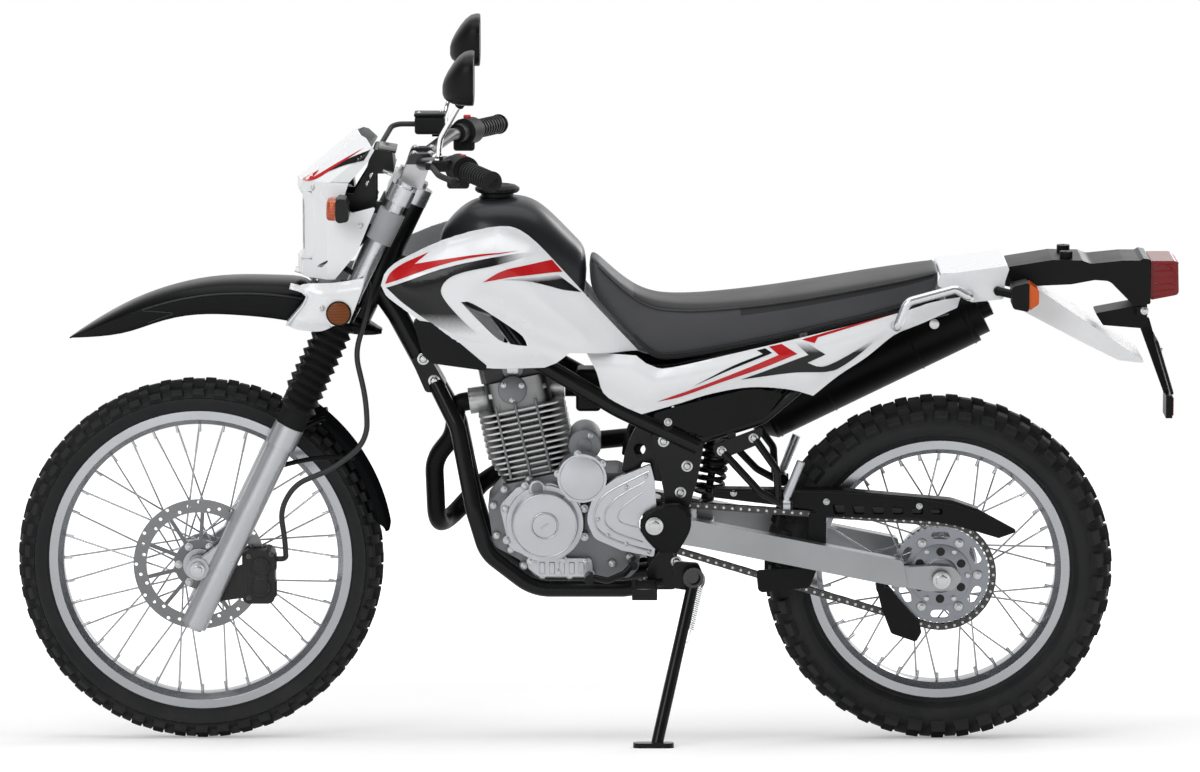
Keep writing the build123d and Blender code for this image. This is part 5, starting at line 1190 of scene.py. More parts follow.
def domed(bm, centre, out, wide, tall, depth, roundness=0.65):
    """A lamp lens: a rounded rectangle drawn out into a dome along a direction in the side view."""
    place = Matrix.Translation(centre) @ Vector(UP).rotation_difference(Vector(out).normalized()).to_matrix().to_4x4()
    rings = []
    for scale, rise in DOME_ROWS:
        verts = []
        for a in around(32):
            across, up = squarer(math.cos(a), roundness), squarer(math.sin(a), roundness)
            verts.append(bm.verts.new(place @ Vector((across * wide / 2 * scale, up * tall / 2 * scale, depth * rise))))
        rings.append(ring_edges(bm, verts))
    skinned(bm, rings)


def make_front_lamps():
    signals, reflectors, rims, glass, bowl = (bmesh.new() for _ in range(5))
    for side, _ in SIDES:
        domed(signals, (-421.3, side * 158, 1009), (-1, 0, 0.05), 42, 54, 17)
        disc_into(reflectors, (REFLECTOR[0], side * 136.3, REFLECTOR[1]), (0, side, 0), 20.5, 6.4, 36, chamfer=1.6)
        tube_into(rims, circle(REFLECTOR, 21.4, side * 139, 24), 1.8, closed=True)
    domed(glass, (-474.5, 0, LAMP_Z), (-1, 0, 0), 124, 119, 13, 0.5)
    domed(bowl, (-473.6, 0, LAMP_Z), (-1, 0, 0), 112, 114, 1.6, 0.5)
    for i in range(7):
        box_into(bowl, (-475.0, -48 + 16 * i, LAMP_Z), (2.0, 13, 104), 0.8, segments=1)
    placed("front_signal_lenses", signals, "steering", amber_lens, smooth=50, stand_for=("front_lenses",))
    placed("fork_reflectors", reflectors, "steering", reflector_amber, smooth=50)
    placed("reflector_rims", rims, "steering", black_plastic, smooth=60)
    placed("headlight_glass", glass, "steering", clear_lens, smooth=50)
    placed("headlight_reflector", bowl, "steering", chrome, smooth=50)


make_front_lamps()


# ---------------------------------------------------------------- chain and shock absorber
CHAIN_PITCH = 15.875
FRONT_PITCH_RADIUS, REAR_PITCH_RADIUS = 30.5, 97.1
CHAIN_Y = -80
FRONT_TEETH = 13


def chain_places():
    """Where the pins stand, evenly spaced round the chain's loop: top run, rear sprocket, lower run, front sprocket."""
    r0, r1 = FRONT_PITCH_RADIUS, REAR_PITCH_RADIUS
    lean = math.atan2(REAR_AXLE[1] - COUNTERSHAFT[1], REAR_AXLE[0] - COUNTERSHAFT[0])
    opening = math.acos((r0 - r1) / math.dist(COUNTERSHAFT, REAR_AXLE))
    top_a, low_a = lean + opening, lean - opening
    top_front, low_front = (Vector(polar(COUNTERSHAFT, r0, a)) for a in (top_a, low_a))
    top_rear, low_rear = (Vector(polar(REAR_AXLE, r1, a)) for a in (top_a, low_a))
    run = (top_rear - top_front).length
    past_rear = run + r1 * 2 * opening
    past_low = past_rear + run
    whole = past_low + r0 * (2 * math.pi - 2 * opening)
    count = 2 * round(whole / CHAIN_PITCH / 2)
    places = []
    for i in range(count):
        s = whole * i / count
        if s < run:
            places.append(top_front + (top_rear - top_front) * (s / run))
        elif s < past_rear:
            places.append(Vector(polar(REAR_AXLE, r1, top_a - (s - run) / r1)))
        elif s < past_low:
            places.append(low_rear + (low_front - low_rear) * ((s - past_rear) / run))
        else:
            places.append(Vector(polar(COUNTERSHAFT, r0, low_a - (s - past_low) / r0)))
    return places


def link_plate_into(bm, p, q, y):
    """One side plate, with round ends, between two pins."""
    along = q - p
    verts = []
    for end, start in ((-along.length / 2, 90), (along.length / 2, -90)):
        for k in range(5):
            x, z = polar((end, 0), 5.6, math.radians(start + 45 * k))
            verts.append(bm.verts.new((x, -0.6, z)))
    made = bmesh.ops.extrude_face_region(bm, geom=[bm.faces.new(verts)])["geom"]
    moved = [g for g in made if isinstance(g, bmesh.types.BMVert)]
    bmesh.ops.translate(bm, vec=(0, 1.2, 0), verts=moved)
    middle = (p + q) / 2
    place = Matrix.Translation((middle.x, y, middle.y)) @ Matrix.Rotation(-math.atan2(along.y, along.x), 4, "Y")
    bmesh.ops.transform(bm, matrix=place, verts=verts + moved)


def make_chain():
    bm, pins = bmesh.new(), bmesh.new()
    places = chain_places()
    for i, (p, q) in enumerate(zip(places, places[1:] + places[:1])):
        disc_into(pins, (p.x, -87.6, p.y), (0, 1, 0), 2.6, 15.2, 8)
        disc_into(pins, (p.x, -84.0, p.y), (0, 1, 0), 4.6, 8.0, 10)
        for y in ((-85.6, -74.4) if i % 2 else (-86.9, -73.1)):
            link_plate_into(bm, p, q, y)
    for a in around(FRONT_TEETH):
        x, z = polar(COUNTERSHAFT, 26, a)
        box_into(bm, (x, CHAIN_Y, z), (8, 6.5, 5), 1.0, Matrix.Rotation(-a, 4, "Y"), 1)
    x, z = COUNTERSHAFT
    disc_into(bm, (x, -83.5, z), (0, 1, 0), 24, 7, 26, chamfer=0.8)
    bolt_into(bm, (x, -83.5, z), LEFTWARDS, 9)
    disc_into(bm, (x, -77, z), (0, 1, 0), 12, 11, 20)
    placed("drive_chain", bm, "root", dark_steel, stand_for=("chain",))
    placed("chain_rollers", pins, "root", steel)


def coil_into(bm, a, b, radius, wire, turns, per_turn=14):
    """A coil spring's wire from a to b."""
    axis = (b - a).normalized()
    side = axis.orthogonal().normalized()
    other = axis.cross(side)
    points = []
    for i in range(int(turns * per_turn) + 1):
        t = i / (turns * per_turn)
        w = 2 * math.pi * i / per_turn
        points.append(a + (b - a) * t + side * radius * math.cos(w) + other * radius * math.sin(w))
    tube_into(bm, points, wire, sides=8)


# down the shock absorber: how far, radius, length, sides, chamfer
SHOCK_PARTS = [(8, 17, 26, 28, 2), (20, 30, 5, 32, 1.2), (20, 19, 62, 28, 1.5), (80, 7, 62, 20, 0),
               (124, 30, 5, 32, 1.2), (128, 12, 14, 24, 1.5)]


def make_shock():
    top, low = Vector((276, 0, 586)), Vector((252, 0, 436))
    down = (low - top).normalized()
    bm = bmesh.new()
    for far, radius, height, sides, chamfer in SHOCK_PARTS:
        disc_into(bm, top + down * far, down, radius, height, sides, chamfer=chamfer)
    for eye, radius, wide in ((top, 18, 28), (low, 14, 34)):
        disc_into(bm, eye - Vector((0, wide / 2, 0)), (0, 1, 0), radius, wide, 28, chamfer=1.5)
    placed("shock_body", bm, "root", dark_steel, stand_for=("shock",))
    spring = bmesh.new()
    coil_into(spring, top + down * 27, top + down * 122, 25.0, 4.4, 6.5)
    placed("shock_spring", spring, "root", frame_black, smooth=60)


make_chain()
make_shock()


# ---------------------------------------------------------------- engine details
CLUTCH, ROUND_COVER, STARTER = (10, 404), (23, 506), (28, 560)
# raised lines on the sprocket cover: how far out, half their thickness, and where they run
COVER_LINES = [
    (-112.2, 2.0, [(146, 520), (96, 496), (60, 474), (46, 448), (44, 424), (56, 404), (98, 384), (150, 371)]),
    (-112.2, 1.6, [(138, 500), (100, 480), (76, 462), (64, 442), (64, 424), (78, 408), (108, 396), (134, 388)]),
    (-112.0, 1.4, [(134, 480), (100, 458), (86, 436), (96, 420), (126, 416)]),
]
COVER_SCREWS = [(140, 510), (104, 490), (52, 430), (70, 400), (104, 384), (146, 370)]
CASE_BOLTS = [(-140, 448), (-134, 392), (-108, 366), (-84, 336), (-50, 318), (0, 318), (40, 322), (78, 340), (110, 352),
              (-120, 478), (-74, 496)]


def on_cylinder(t, b=0.0, y=0.0):
    """A point t up the cylinder from the crank, and b back from its middle."""
    return Vector((CRANK[0] - t * math.sin(TILT) + b * math.cos(TILT), y,
                   CRANK[1] + t * math.cos(TILT) + b * math.sin(TILT)))


def ring_of_bolts(bm, centre, y, radius, count, toward, size, start=0.0):
    for a in around(count, start):
        x, z = polar(centre, radius, a)
        bolt_into(bm, (x, y, z), (0, toward, 0), size)


def lug_and_bolt(bolts, metal, x, z, y_low, y_high, radius, toward=-1):
    """A cast ear with its bolt on a cover's joint line."""
    face = y_low if toward < 0 else y_high
    disc_into(metal, (x, y_low, z), (0, 1, 0), radius, y_high - y_low, 20, chamfer=0.8)
    bolt_into(bolts, (x, face, z), (0, toward, 0), radius * 0.5)


def flywheel_cover_into(silver, grey, bolts):
    for a in degrees(20, 62, 118, 160, 205, 250, 296, 340):
        lug_and_bolt(bolts, silver, *polar(CRANK, 77, a), -92, -70, 7.5)
    for radius, y in ((58, -121.2), (24, -123.2)):
        tube_into(silver, circle(CRANK, radius, y, 40), 1.3, closed=True)
    x, z = CRANK
    box_into(silver, (x, -124.0, z), (16, 1.6, 3.2), 0.6, Matrix.Rotation(math.radians(-38), 4, "Y"), 1)
    disc_into(silver, (x - 14, -92, z + 66), LEFTWARDS, 15, 12, 28, chamfer=2)
    disc_into(grey, (x - 14, -104, z + 66), LEFTWARDS, 11, 1.2, 28, chamfer=0.5)


def round_cover_and_starter_into(silver, grey, bolts):
    x, z = ROUND_COVER
    disc_into(silver, (x, -111, z), LEFTWARDS, 41, 3.0, 48, top=0.97, chamfer=1.2)
    for a in degrees(35, 100, 170, 236, 300):
        lug_and_bolt(bolts, silver, *polar(ROUND_COVER, 45, a), -108, -88, 7.0)
    x, z = STARTER
    disc_into(grey, (x, -66, z), LEFTWARDS, 29, 3.0, 40, chamfer=1.2)
    disc_into(grey, (x, -69, z), LEFTWARDS, 13, 2.0, 30, chamfer=0.8)
    for a in degrees(60, 240):
        x, z = polar(STARTER, 21, a)
        bolt_into(bolts, (x, -69, z), LEFTWARDS, 3.4, "dome")


def sprocket_cover_into(silver, bolts):
    for y, radius, line in COVER_LINES:
        tube_into(silver, [(x, y, z) for x, z in line], radius)
    for x, z in COVER_SCREWS:
        bolt_into(bolts, (x, -112, z), LEFTWARDS, 3.2, "dome")


def crankcase_into(silver, grey, bolts):
    for x, z in CASE_BOLTS:
        lug_and_bolt(bolts, grey, x, z, -72, -50, 8.0)
    for x, z in ((-66, 344), (-20, 326), (30, 346)):
        bolt_into(bolts, (x, -84, z), LEFTWARDS, 4.2)
    for i in range(5):
        box_into(silver, (-50 + 18 * i, -85, 334), (10, 2.4, 22), 0.9, segments=1)


def cylinder_into(grey, bolts):
    """Head nuts, bridges between the fins, cam cover and valve caps."""
    for b in (-66, 66):
        for y in (-62, 62):
            disc_into(bolts, on_cylinder(238, b * 0.72, y * 0.72), UP_THE_CYLINDER, 7, 9, 6, chamfer=0.6)
    for y, foot, places in ((-74.5, 88, (-44, -8, 30)), (74.0, 100, (-50, 0, 50))):
        for b in places:
            tube_into(grey, [on_cylinder(foot, b, y), on_cylinder(226, b, y)], 2.6, smooth=False)
    cam = on_cylinder(248, -8, -56)
    disc_into(grey, cam, (0, -1, 0.1), 26, 8, 32, chamfer=2)
    ring_of_bolts(bolts, (cam.x, cam.z), -64.5, 19, 3, -1, 3.6, 0.5)
    disc_into(grey, on_cylinder(284, 0, -30), LEFTWARDS, 20, 18, 28, chamfer=2.5)
    disc_into(bolts, on_cylinder(284, 0, -48), LEFTWARDS, 12, 4, 6, chamfer=0.8)
    for b in (-48, 48):
        for y in (-30, 30):
            bolt_into(bolts, on_cylinder(292, b, y), UP_THE_CYLINDER, 4.5)


def clutch_cover_into(silver, bolts):
    for a in degrees(*range(12, 360, 40)):
        lug_and_bolt(bolts, silver, *polar(CLUTCH, 77, a), 78, 100, 7.5, 1)
    tube_into(silver, circle(CLUTCH, 57, 130.4, 40), 1.4, closed=True)
    ring_of_bolts(bolts, (-92, 448), 112, 20, 3, 1, 3.6, 0.4)


def make_engine():
    silver, bolts, grey = bmesh.new(), bmesh.new(), bmesh.new()
    flywheel_cover_into(silver, grey, bolts)
    round_cover_and_starter_into(silver, grey, bolts)
    sprocket_cover_into(silver, bolts)
    crankcase_into(silver, grey, bolts)
    cylinder_into(grey, bolts)
    clutch_cover_into(silver, bolts)
    placed("engine_cast_details", silver, "root", cast_silver)
    placed("engine_case_details", grey, "root", cast_grey)
    placed("engine_bolts", bolts, "root", steel)


def make_plug_lead():
    rubber = bmesh.new()
    plug = on_cylinder(236, -30, 57)
    disc_into(rubber, plug, (0, 1, 0.25), 8, 34, 18, top=0.85, chamfer=1.5)
    tube_into(rubber, [plug + Vector((0, 32, 8)), plug + Vector((-4, 46, 30)), (-120, 70, 720), (-110, 40, 790)], 3.4)
    placed("spark_plug_lead", rubber, "root", soft_rubber, smooth=60)


make_engine()
make_plug_lead()


# ---------------------------------------------------------------- bolts and small parts, body by body
# on both sides of the frame: x, z, how far out, radius, kind of head
FRAME_BOLTS = [(-268, 714, 30, 7.5, "dome"), (-248, 673, 30, 7.5, "dome"), (215, 526, 95, 7.0, "dome"),
               (203, 477, 95, 7.0, "dome"), (196, 348, 95, 7.0, "dome"), (172, 572, 95, 7.0, "dome"),
               (278, 556, 106, 6.0, "dome"), (336, 580, 106, 6.0, "dome"), (180, 610, 108, 5.0, "dome"),
               (*PIVOT, 131, 11.0, "hex"), (680, 321, 134, 11.0, "hex"), (396, 462, 120, 5.0, "dome")]
FORK_PINCH_BOLTS = (545, 558, 776, 792)
BAR_X, BAR_CLAMP_Z = -268, 1096


def make_frame_bolts():
    bm = bmesh.new()
    for x, z, y, radius, kind in FRAME_BOLTS:
        for side, _ in SIDES:
            bolt_into(bm, (x, side * y, z), (0, side, 0), radius, kind)
    for x, z in ((640, 452), (470, 460), (300, 476)):
        bolt_into(bm, (x, -96.5, z), LEFTWARDS, 4.0, "dome")
    placed("frame_bolts", bm, "root", steel)


def make_fork_bolts():
    bm = bmesh.new()
    for side, _ in SIDES:
        for x, z in ((-378, 972), (-465, 1038)):
            bolt_into(bm, (x, side * mask_skin(x, z), z), (0, side, 0), 4.0, "dome")
        for s in FORK_PINCH_BOLTS:
            bolt_into(bm, on_fork(s, -24.5, side * LEG_Y), (-math.cos(RAKE), 0, math.sin(RAKE)), 4.6, "dome")
        disc_into(bm, on_fork(808, 0, side * LEG_Y), UP_THE_FORK, 12, 5, 6, chamfer=0.8)
        bolt_into(bm, (FRONT_AXLE[0], side * 120, FRONT_AXLE[1]), (0, side, 0), 9.0)
        for back in (15, -15):
            bolt_into(bm, (BAR_X + back, side * 42, BAR_CLAMP_Z), UP, 4.2, "dome")
        bolt_into(bm, (-448, side * 136, 824), (0, side, 0), 3.5, "dome")
    disc_into(bm, on_fork(800, 64, 0), UP_THE_FORK, 16, 12, 6, chamfer=1.2)
    placed("fork_bolts", bm, "steering", steel)


def make_wheel_bolts():
    for body, axle, y, radius in (("front_wheel", FRONT_AXLE, -64.5, 38), ("rear_wheel", REAR_AXLE, -84, 50)):
        bm = bmesh.new()
        ring_of_bolts(bm, axle, y, radius, 6, -1, 5.0)
        placed(f"{body}_bolts", bm, body, steel)


def make_nipples():
    """A spoke nipple in each hole of both rims' wells, left and right in turn."""
    for body, axle, well in (("front", FRONT_AXLE, 252.0), ("rear", REAR_AXLE, 214.0)):
        bm = bmesh.new()
        for i in range(36):
            a = math.radians(i * 10)
            side = -1 if i % 2 else 1
            y = side * (7.5 if (i // 2) % 2 == 0 else 3.0)
            out = Vector((math.cos(a), 0, math.sin(a)))
            disc_into(bm, Vector((axle[0], y, axle[1])) + out * (well - 14), out, 2.7, 15, 8)
        placed(f"{body}_spoke_nipples", bm, f"{body}_wheel", steel, smooth=50)


make_frame_bolts()
make_fork_bolts()
make_wheel_bolts()
make_nipples()


# ---------------------------------------------------------------- bars: switches, master cylinder, mirrors
BAR_BEND, GRIP_OUT = Vector((-221, 190, 1099)), Vector((-136, 400, 1092))
GRIP_FACES = (0.374, 0.926, -0.03)


def along_grip(d, side, up=0.0, fore=0.0):
    """A point d inwards along the bar from the grip's outer end."""
    p = GRIP_OUT + (BAR_BEND - GRIP_OUT).normalized() * d
    return Vector((p.x - fore, side * p.y, p.z + up))


# on the switches, from a place in the bar: material, offset, size, bevel
LEFT_SWITCH = [("red", (8, -12, -22), (12, 8, 9), 2), ("red", (4, -8, 24), (10, 9, 5), 1.5),
               ("black", (10, -12, 4), (12, 10, 14), 2.5), ("black", (-22, -8, 8), (9, 14, 18), 2.5)]
RIGHT_SWITCH = [("red", (0, 10, 26), (14, 10, 7), 2), ("black", (10, 12, 2), (12, 10, 16), 2.5)]


def make_bar_details():
    buttons, details, screws = bmesh.new(), bmesh.new(), bmesh.new()
    for side, switch in ((-1, LEFT_SWITCH), (1, RIGHT_SWITCH)):
        for colour, offset, size, bevel in switch:
            box_into(buttons if colour == "red" else details, along_grip(150, side) + Vector(offset), size, bevel)
    reservoir = along_grip(223, 1) + Vector((-40, 0, 39))
    box_into(details, reservoir, (58, 54, 6), 2)
    for dx in (-20, 20):
        bolt_into(screws, reservoir + Vector((dx, dx * 0.6, 3)), UP, 2.6, "dome")
    for side, _ in SIDES:
        faces = (GRIP_FACES[0], side * GRIP_FACES[1], GRIP_FACES[2])
        disc_into(details, along_grip(0, side), faces, 19, 4, 28, chamfer=1.5)
        disc_into(details, along_grip(2, side), faces, 13, 9, 24, chamfer=2)
        bolt_into(screws, along_grip(183, side) + Vector((-42, side * 2, 5)), UP, 4.5, "dome")
    placed("switch_buttons_red", buttons, "steering", switch_red, smooth=50)
    placed("switch_details", details, "steering", black_plastic, smooth=50)
    meter = bmesh.new()
    box_into(meter, (-332, 0, 1101), (34, 104, 4), 1.6, Matrix.Rotation(math.radians(9), 4, "Y"))
    placed("instrument_face", meter, "steering", gloss_black, smooth=50)
    placed("bar_screws", screws, "steering", steel)


make_bar_details()

# through a mirror's head: how far back, wide, tall, and how much higher than its middle
MIRROR_SHELL = [(8.6, 119.5, 85.5, 0), (10.2, 121.5, 87.5, 0), (10.4, 125.0, 91.0, 0), (8.8, 127.6, 93.6, 0),
                (3, 128, 94, 0), (-7, 124.5, 91, -1.2), (-17, 115.5, 82.5, -4.5), (-27, 100, 68.5, -9.5),
                (-36, 80, 51, -14.5), (-42.5, 55, 33, -18), (-45.5, 28, 16, -20)]
MIRROR_GLASS = [(8.2, 118.8, 84.8, 0), (9.3, 118.8, 84.8, 0)]


def oval_ring(bm, centre, wide, tall):
    """A loop of edges round an oval with soft corners that faces along the machine."""
    ring = bmesh.ops.create_circle(bm, cap_ends=False, segments=48, radius=1.0)["verts"]
    for v in ring:
        v.co = centre + Vector((0, wide / 2 * squarer(v.co.x, 0.54), tall / 2 * squarer(v.co.y, 0.54)))
    return edges_at(ring)


def make_mirrors():
    shells, glass, stems = bmesh.new(), bmesh.new(), bmesh.new()
    for side, _ in SIDES:
        root = along_grip(183, side, up=10.3, fore=28)
        knee, tip = root + Vector((0, 0, 34)), root + Vector((42, side * 50, 112))
        along = (tip - knee).normalized()
        tube_into(stems, [root, knee, knee.lerp(tip, 0.3), tip + along * 8], 5.0, sides=16)
        disc_into(stems, root, UP, 8.4, 8, 6, chamfer=0.8)
        disc_into(shells, tip - along * 11, along, 8.4, 16, 28, top=1.1, chamfer=1.2)
        head = tip + Vector((12, side * 18, 44))
        for bm, rows in ((shells, MIRROR_SHELL), (glass, MIRROR_GLASS)):
            skinned(bm, [oval_ring(bm, head + Vector((back, 0, rise)), wide, tall) for back, wide, tall, rise in rows])
    placed("mirror_shells", shells, "steering", black_plastic, stand_for=("mirrors",))
    placed("mirror_glasses", glass, "steering", mirror_silver, stand_for=("mirrors",))
    placed("mirror_stems", stems, "steering", chrome, smooth=45, stand_for=("mirrors",))


make_mirrors()


# ---------------------------------------------------------------- muffler, stand spring and rear fittings
MUFFLER_FRONT, MUFFLER_REAR = Vector((366, 166, 582)), Vector((742, 166, 766))


def make_rear_details():
    along = (MUFFLER_REAR - MUFFLER_FRONT).normalized()
    across = Vector((0, 1, 0))
    other = along.cross(across).normalized()
    bands, screws = bmesh.new(), bmesh.new()
    for t in (8, 120, 300, 408):
        middle = MUFFLER_FRONT + along * t
        tube_into(bands, [middle + (across * math.cos(a) + other * math.sin(a)) * 54.2 for a in around(36)], 1.6,
                  closed=True)
    shield = Matrix.Rotation(-math.atan2(along.z, along.x), 4, "Y")
    box_into(bands, MUFFLER_FRONT + along * 210 + across * 56, (190, 3, 60), 1.4, shield)
    for t in (150, 270):
        bolt_into(screws, MUFFLER_FRONT + along * t + across * 57, across, 4.0, "dome")
    disc_into(screws, MUFFLER_REAR + along * 42, along, 15, 1.5, 28, chamfer=0.6)
    placed("muffler_bands", bands, "root", exhaust_black, smooth=50)
    for side, _ in SIDES:
        for x, y, z in ((592, 126, 790), (726, 122, 846)):
            bolt_into(screws, (x, side * y, z), (0, side, 0), 5.5, "dome")
    disc_into(screws, (664, -99, 790), LEFTWARDS, 9, 6, 24, chamfer=1)
    placed("rear_screws", screws, "root", steel)


def make_stand_spring():
    """A closed coil between two hooks: one on the stand's bracket, one down its leg."""
    pivot = Vector((228.0, -125.0, 322.0))
    leg = Vector((-0.22, -0.34, -math.sqrt(1 - 0.34 ** 2 - 0.22 ** 2)))
    top, low = pivot + Vector((16, -6, 10)), pivot + leg * 120 + Vector((15, 0, 0))
    spring = bmesh.new()
    coil_into(spring, top + (low - top) * 0.18, top + (low - top) * 0.82, 5.4, 1.3, 22, 10)
    tube_into(spring, [top, top + (low - top) * 0.2], 1.3, smooth=False)
    tube_into(spring, [top + (low - top) * 0.8, low, low + Vector((-6, 0, 0))], 1.3, smooth=False)
    placed("stand_spring", spring, "side_stand", chrome, smooth=60)


make_rear_details()
make_stand_spring()


# ---------------------------------------------------------------- caliper, rear hub, guard and tail details
CALIPER_X = -566
CALIPER_BLOCKS = [((-566, -95.5, 319), (24, 4, 20), 1.6), ((-594, -84, 319), (9, 22, 84), 2.5),
                  ((-541, -80, 346), (8, 24, 30), 2.2), ((-541, -80, 296), (8, 24, 30), 2.2)]
GUARD_LIP = [(262, 480), (400, 479), (500, 476.5), (600, 470), (696, 457), (744, 441)]


def make_caliper_details():
    castings, screws = bmesh.new(), bmesh.new()
    for z in (338, 300):
        disc_into(castings, (CALIPER_X, -93.5, z), LEFTWARDS, 18, 4.5, 32, chamfer=1.4)
        disc_into(castings, (CALIPER_X, -97.6, z), LEFTWARDS, 12.5, 1.4, 28, chamfer=0.6)
        tube_into(castings, circle((CALIPER_X, z), 15.2, -98.0, 28), 0.9, closed=True)
    for centre, size, bevel in CALIPER_BLOCKS:
        box_into(castings, centre, size, bevel)
    for x, z in ((-546, 362), (-588, 280), (-588, 358)):
        bolt_into(screws, (x, -94, z), LEFTWARDS, 3.4)
    disc_into(screws, (-552, -88, 366), (0.3, 0, 1), 3.6, 13, 10, chamfer=0.8)
    placed("caliper_castings", castings, "steering", caliper_black, smooth=45)
    placed("caliper_screws", screws, "steering", dark_steel)


def make_rear_hub_details():
    hub, pockets, nuts = bmesh.new(), bmesh.new(), bmesh.new()
    x, z = REAR_AXLE
    disc_into(hub, (x, -83.2, z), LEFTWARDS, 57, 3.2, 60, chamfer=1.0)
    disc_into(hub, (x, -86.0, z), LEFTWARDS, 33, 4.5, 48, top=0.9, chamfer=1.0)
    for a in around(6):
        # Each pocket is a thin black disc standing on the carrier, not a recess: its black is painted shade.
        x, z = polar(REAR_AXLE, 44, a + 0.52)
        disc_into(pockets, (x, -86.2, z), LEFTWARDS, 8.0, 0.8, 22)
        x, z = polar(REAR_AXLE, 68, a)
        disc_into(hub, (x, -82.0, z), LEFTWARDS, 9.5, 3.4, 20, chamfer=0.8)
        bolt_into(nuts, (x, -85.4, z), LEFTWARDS, 5.2)
    placed("rear_hub_carrier", hub, "rear_wheel", sprocket_alloy)
    placed("rear_hub_pocket_shade", pockets, "rear_wheel", caliper_black)
    placed("rear_sprocket_nuts", nuts, "rear_wheel", steel)


def make_chain_guard_liner():
    bm = bmesh.new()
    box_into(bm, (577, -89.6, 442.5), (222, 1.4, 32), 0.6, Matrix.Rotation(math.radians(3.2), 4, "Y"), 1)
    tube_into(bm, [(x, -97.2, z) for x, z in GUARD_LIP], 1.7)
    placed("chain_guard_liner", bm, "root", gloss_black, smooth=50)


def make_tail_details():
    """Prisms on the tail lamp and the plate's reflector, the blank plate, and their screws."""
    red, screws, plate = bmesh.new(), bmesh.new(), bmesh.new()
    for i in range(5):
        z = 846 + 12 * i
        for side, _ in SIDES:
            box_into(red, (1084, side * 61.8, z), (36, 1.6, 3.0), 0.7, segments=1)
        box_into(red, (1110.6, 0, z), (2.2, 104, 3.0), 0.7, segments=1)
    box_into(red, (1107.2, 0, 625), (2.6, 60, 34), 1.0, segments=2)
    tilt = math.radians(17)
    carrier = Vector((1083, 0, 706))
    middle = carrier + Vector((math.cos(tilt), 0, math.sin(tilt))) * 5.4
    box_into(plate, middle, (99, 174, 1.2), 0.5, Matrix.Rotation(math.pi / 2 - tilt, 4, "Y"), 1)
    lean = 0.297                   # the screws' slope in radians, close to the plate's tilt
    out, up = Vector((math.cos(lean), 0, math.sin(lean))), Vector((-math.sin(lean), 0, math.cos(lean)))
    for side, _ in SIDES:
        rim = [(1063, 832), (1106, 841), (1105, 896), (1063, 897)]
        tube_into(red, [(x, side * 61.6, z) for x, z in rim], 1.6)
        bolt_into(screws, carrier + out * 6 + up * 30 + Vector((0, side * 60, 0)), out, 4.0, "dome")
        bolt_into(screws, (1050, side * 60, 808), (0, side, 0), 5.0)
    placed("tail_lamp_prisms", red, "root", red_lens, smooth=50)
    placed("plate_blank", plate, "root", plate_paint)
    placed("tail_fixings", screws, "root", steel)


make_caliper_details()
make_rear_hub_details()
make_chain_guard_liner()
make_tail_details()


# ---------------------------------------------------------------- stage, light and camera
scene = bpy.context.scene
FLOOR_GREY = (0.80, 0.80, 0.80, 1)
SHINE = (1, 1, 1, 1)
AMBIENT = 0.42                     # strength of the world's soft light on the object
DIM_ROOM = 0.14                    # strength of what mirror-like surfaces see behind the camera


def seen_directly(tree):
    """1 on rays from the camera, from mirror-like surfaces and through lenses."""
    ray = tree.nodes.new("ShaderNodeLightPath").outputs
    return higher(tree, higher(tree, ray["Is Camera Ray"], ray["Is Transmission Ray"]), ray["Is Glossy Ray"])


def pale_floor():
    """A pale floor that takes shadows near the object and runs into the white background further out."""
    material = bpy.data.materials.new("pale_floor")
    material.use_nodes = True
    tree = material.node_tree
    shader = tree.nodes["Principled BSDF"]
    shader.inputs["Roughness"].default_value = 0.7
    shader.inputs["Specular IOR Level"].default_value = 0.0
    apart = tree.nodes.new("ShaderNodeVectorMath")
    apart.operation = "LENGTH"
    tree.links.new(tree.nodes.new("ShaderNodeTexCoord").outputs["Object"], apart.inputs[0])
    near = map_node(tree, map_node(tree, apart.outputs["Value"], 1.5, 3.2), *ALL, 0.30, 1.0)
    shader.inputs["Base Color"].default_value = FLOOR_GREY
    shader.inputs["Emission Color"].default_value = SHINE
    tree.links.new(times(tree, seen_directly(tree), near), shader.inputs["Emission Strength"])
    return material


def make_floor():
    bm = bmesh.new()
    bmesh.ops.create_grid(bm, x_segments=2, y_segments=2, size=14.0)
    mesh = bpy.data.meshes.new("studio_floor")
    bm.to_mesh(mesh)
    bm.free()
    floor = bpy.data.objects.new("studio_floor", mesh)
    scene.collection.objects.link(floor)
    mesh.materials.append(pale_floor())


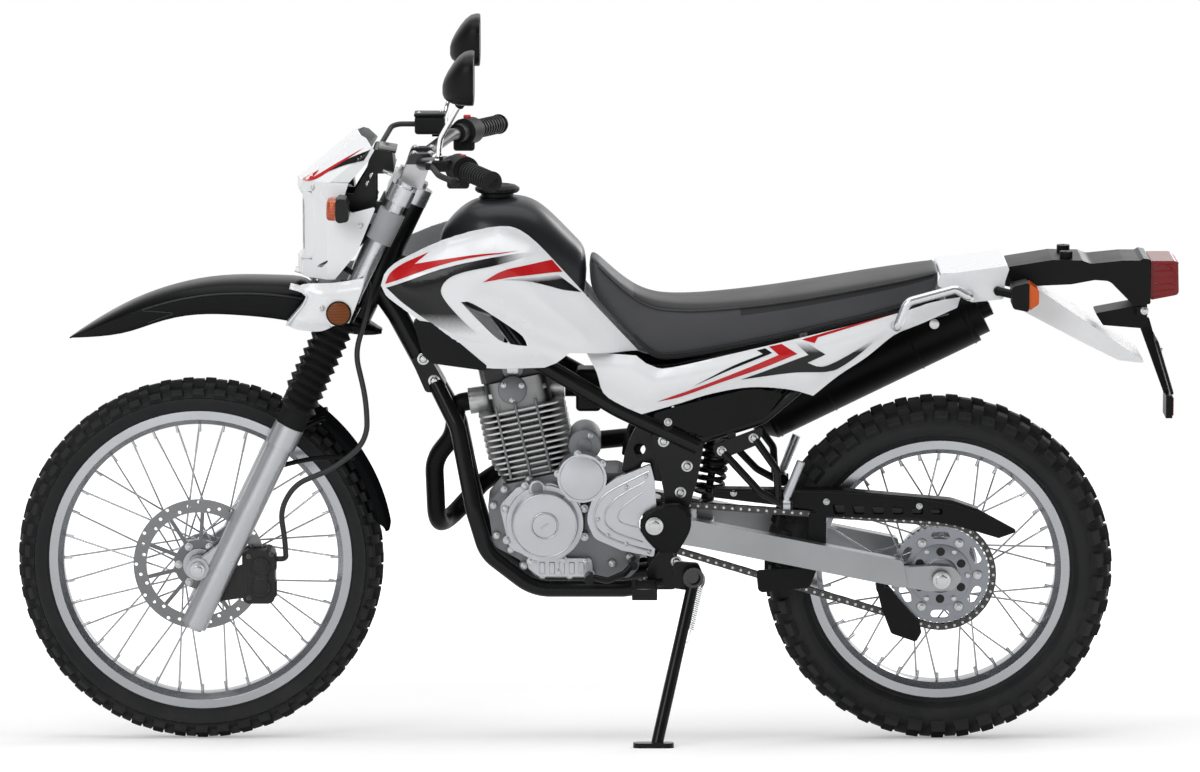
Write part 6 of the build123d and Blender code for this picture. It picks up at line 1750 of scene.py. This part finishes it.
def make_world():
    """White for the camera; mirror-like surfaces show the white backdrop, and a dimmer room behind the camera."""
    world = bpy.data.worlds.new("studio")
    scene.world = world
    world.use_nodes = True
    tree = world.node_tree
    back = tree.nodes["Background"]
    toward = axes_of(tree, tree.nodes.new("ShaderNodeTexCoord").outputs["Generated"])
    room = higher(tree, map_node(tree, toward["Y"], -0.45, 0.55, DIM_ROOM, 1.0),
                  map_node(tree, toward["Z"], 0.45, 0.95, DIM_ROOM, 0.6))
    direct = tree.nodes.new("ShaderNodeLightPath").outputs
    straight = higher(tree, direct["Is Camera Ray"], direct["Is Transmission Ray"])
    reflected = times(tree, direct["Is Glossy Ray"], room)
    soft_light = map_node(tree, seen_directly(tree), *ALL, AMBIENT, 0.0)
    tree.links.new(plus(tree, higher(tree, straight, reflected), soft_light), back.inputs["Strength"])
    back.inputs["Color"].default_value = SHINE


def softbox(name, at, aim, size, power):
    light = bpy.data.lights.new(name, "AREA")
    light.shape = "RECTANGLE"
    light.size, light.size_y = size
    light.energy = power
    obj = bpy.data.objects.new(name, light)
    obj.location = at
    obj.rotation_euler = (Vector(aim) - Vector(at)).to_track_quat("-Z", "Y").to_euler()
    scene.collection.objects.link(obj)


def make_camera(aim, away, elevation):
    """A long lens on the left side, a little above the axles."""
    data = bpy.data.cameras.new("side_view")
    data.sensor_width = 36.0
    data.lens = 196.0
    camera = bpy.data.objects.new("side_view", data)
    camera.location = aim + Vector((0, -math.cos(elevation) * away, math.sin(elevation) * away))
    camera.rotation_euler = (math.pi / 2 - elevation, 0, 0)
    scene.collection.objects.link(camera)
    scene.camera = camera


make_floor()
make_world()
softbox("overhead_softbox", (0.0, -0.6, 3.6), (0, 0.1, 0.5), (4.0, 2.6), 66)
softbox("near_softbox", (-2.2, -4.2, 2.4), (0, 0, 0.6), (2.4, 1.8), 80)
softbox("far_softbox", (2.6, 3.6, 2.6), (0, 0, 0.6), (2.4, 1.8), 55)
make_camera(Vector((0.0085, 0.0, 0.655)), 11.95, math.radians(1.6))
scene.view_settings.view_transform = "Standard"
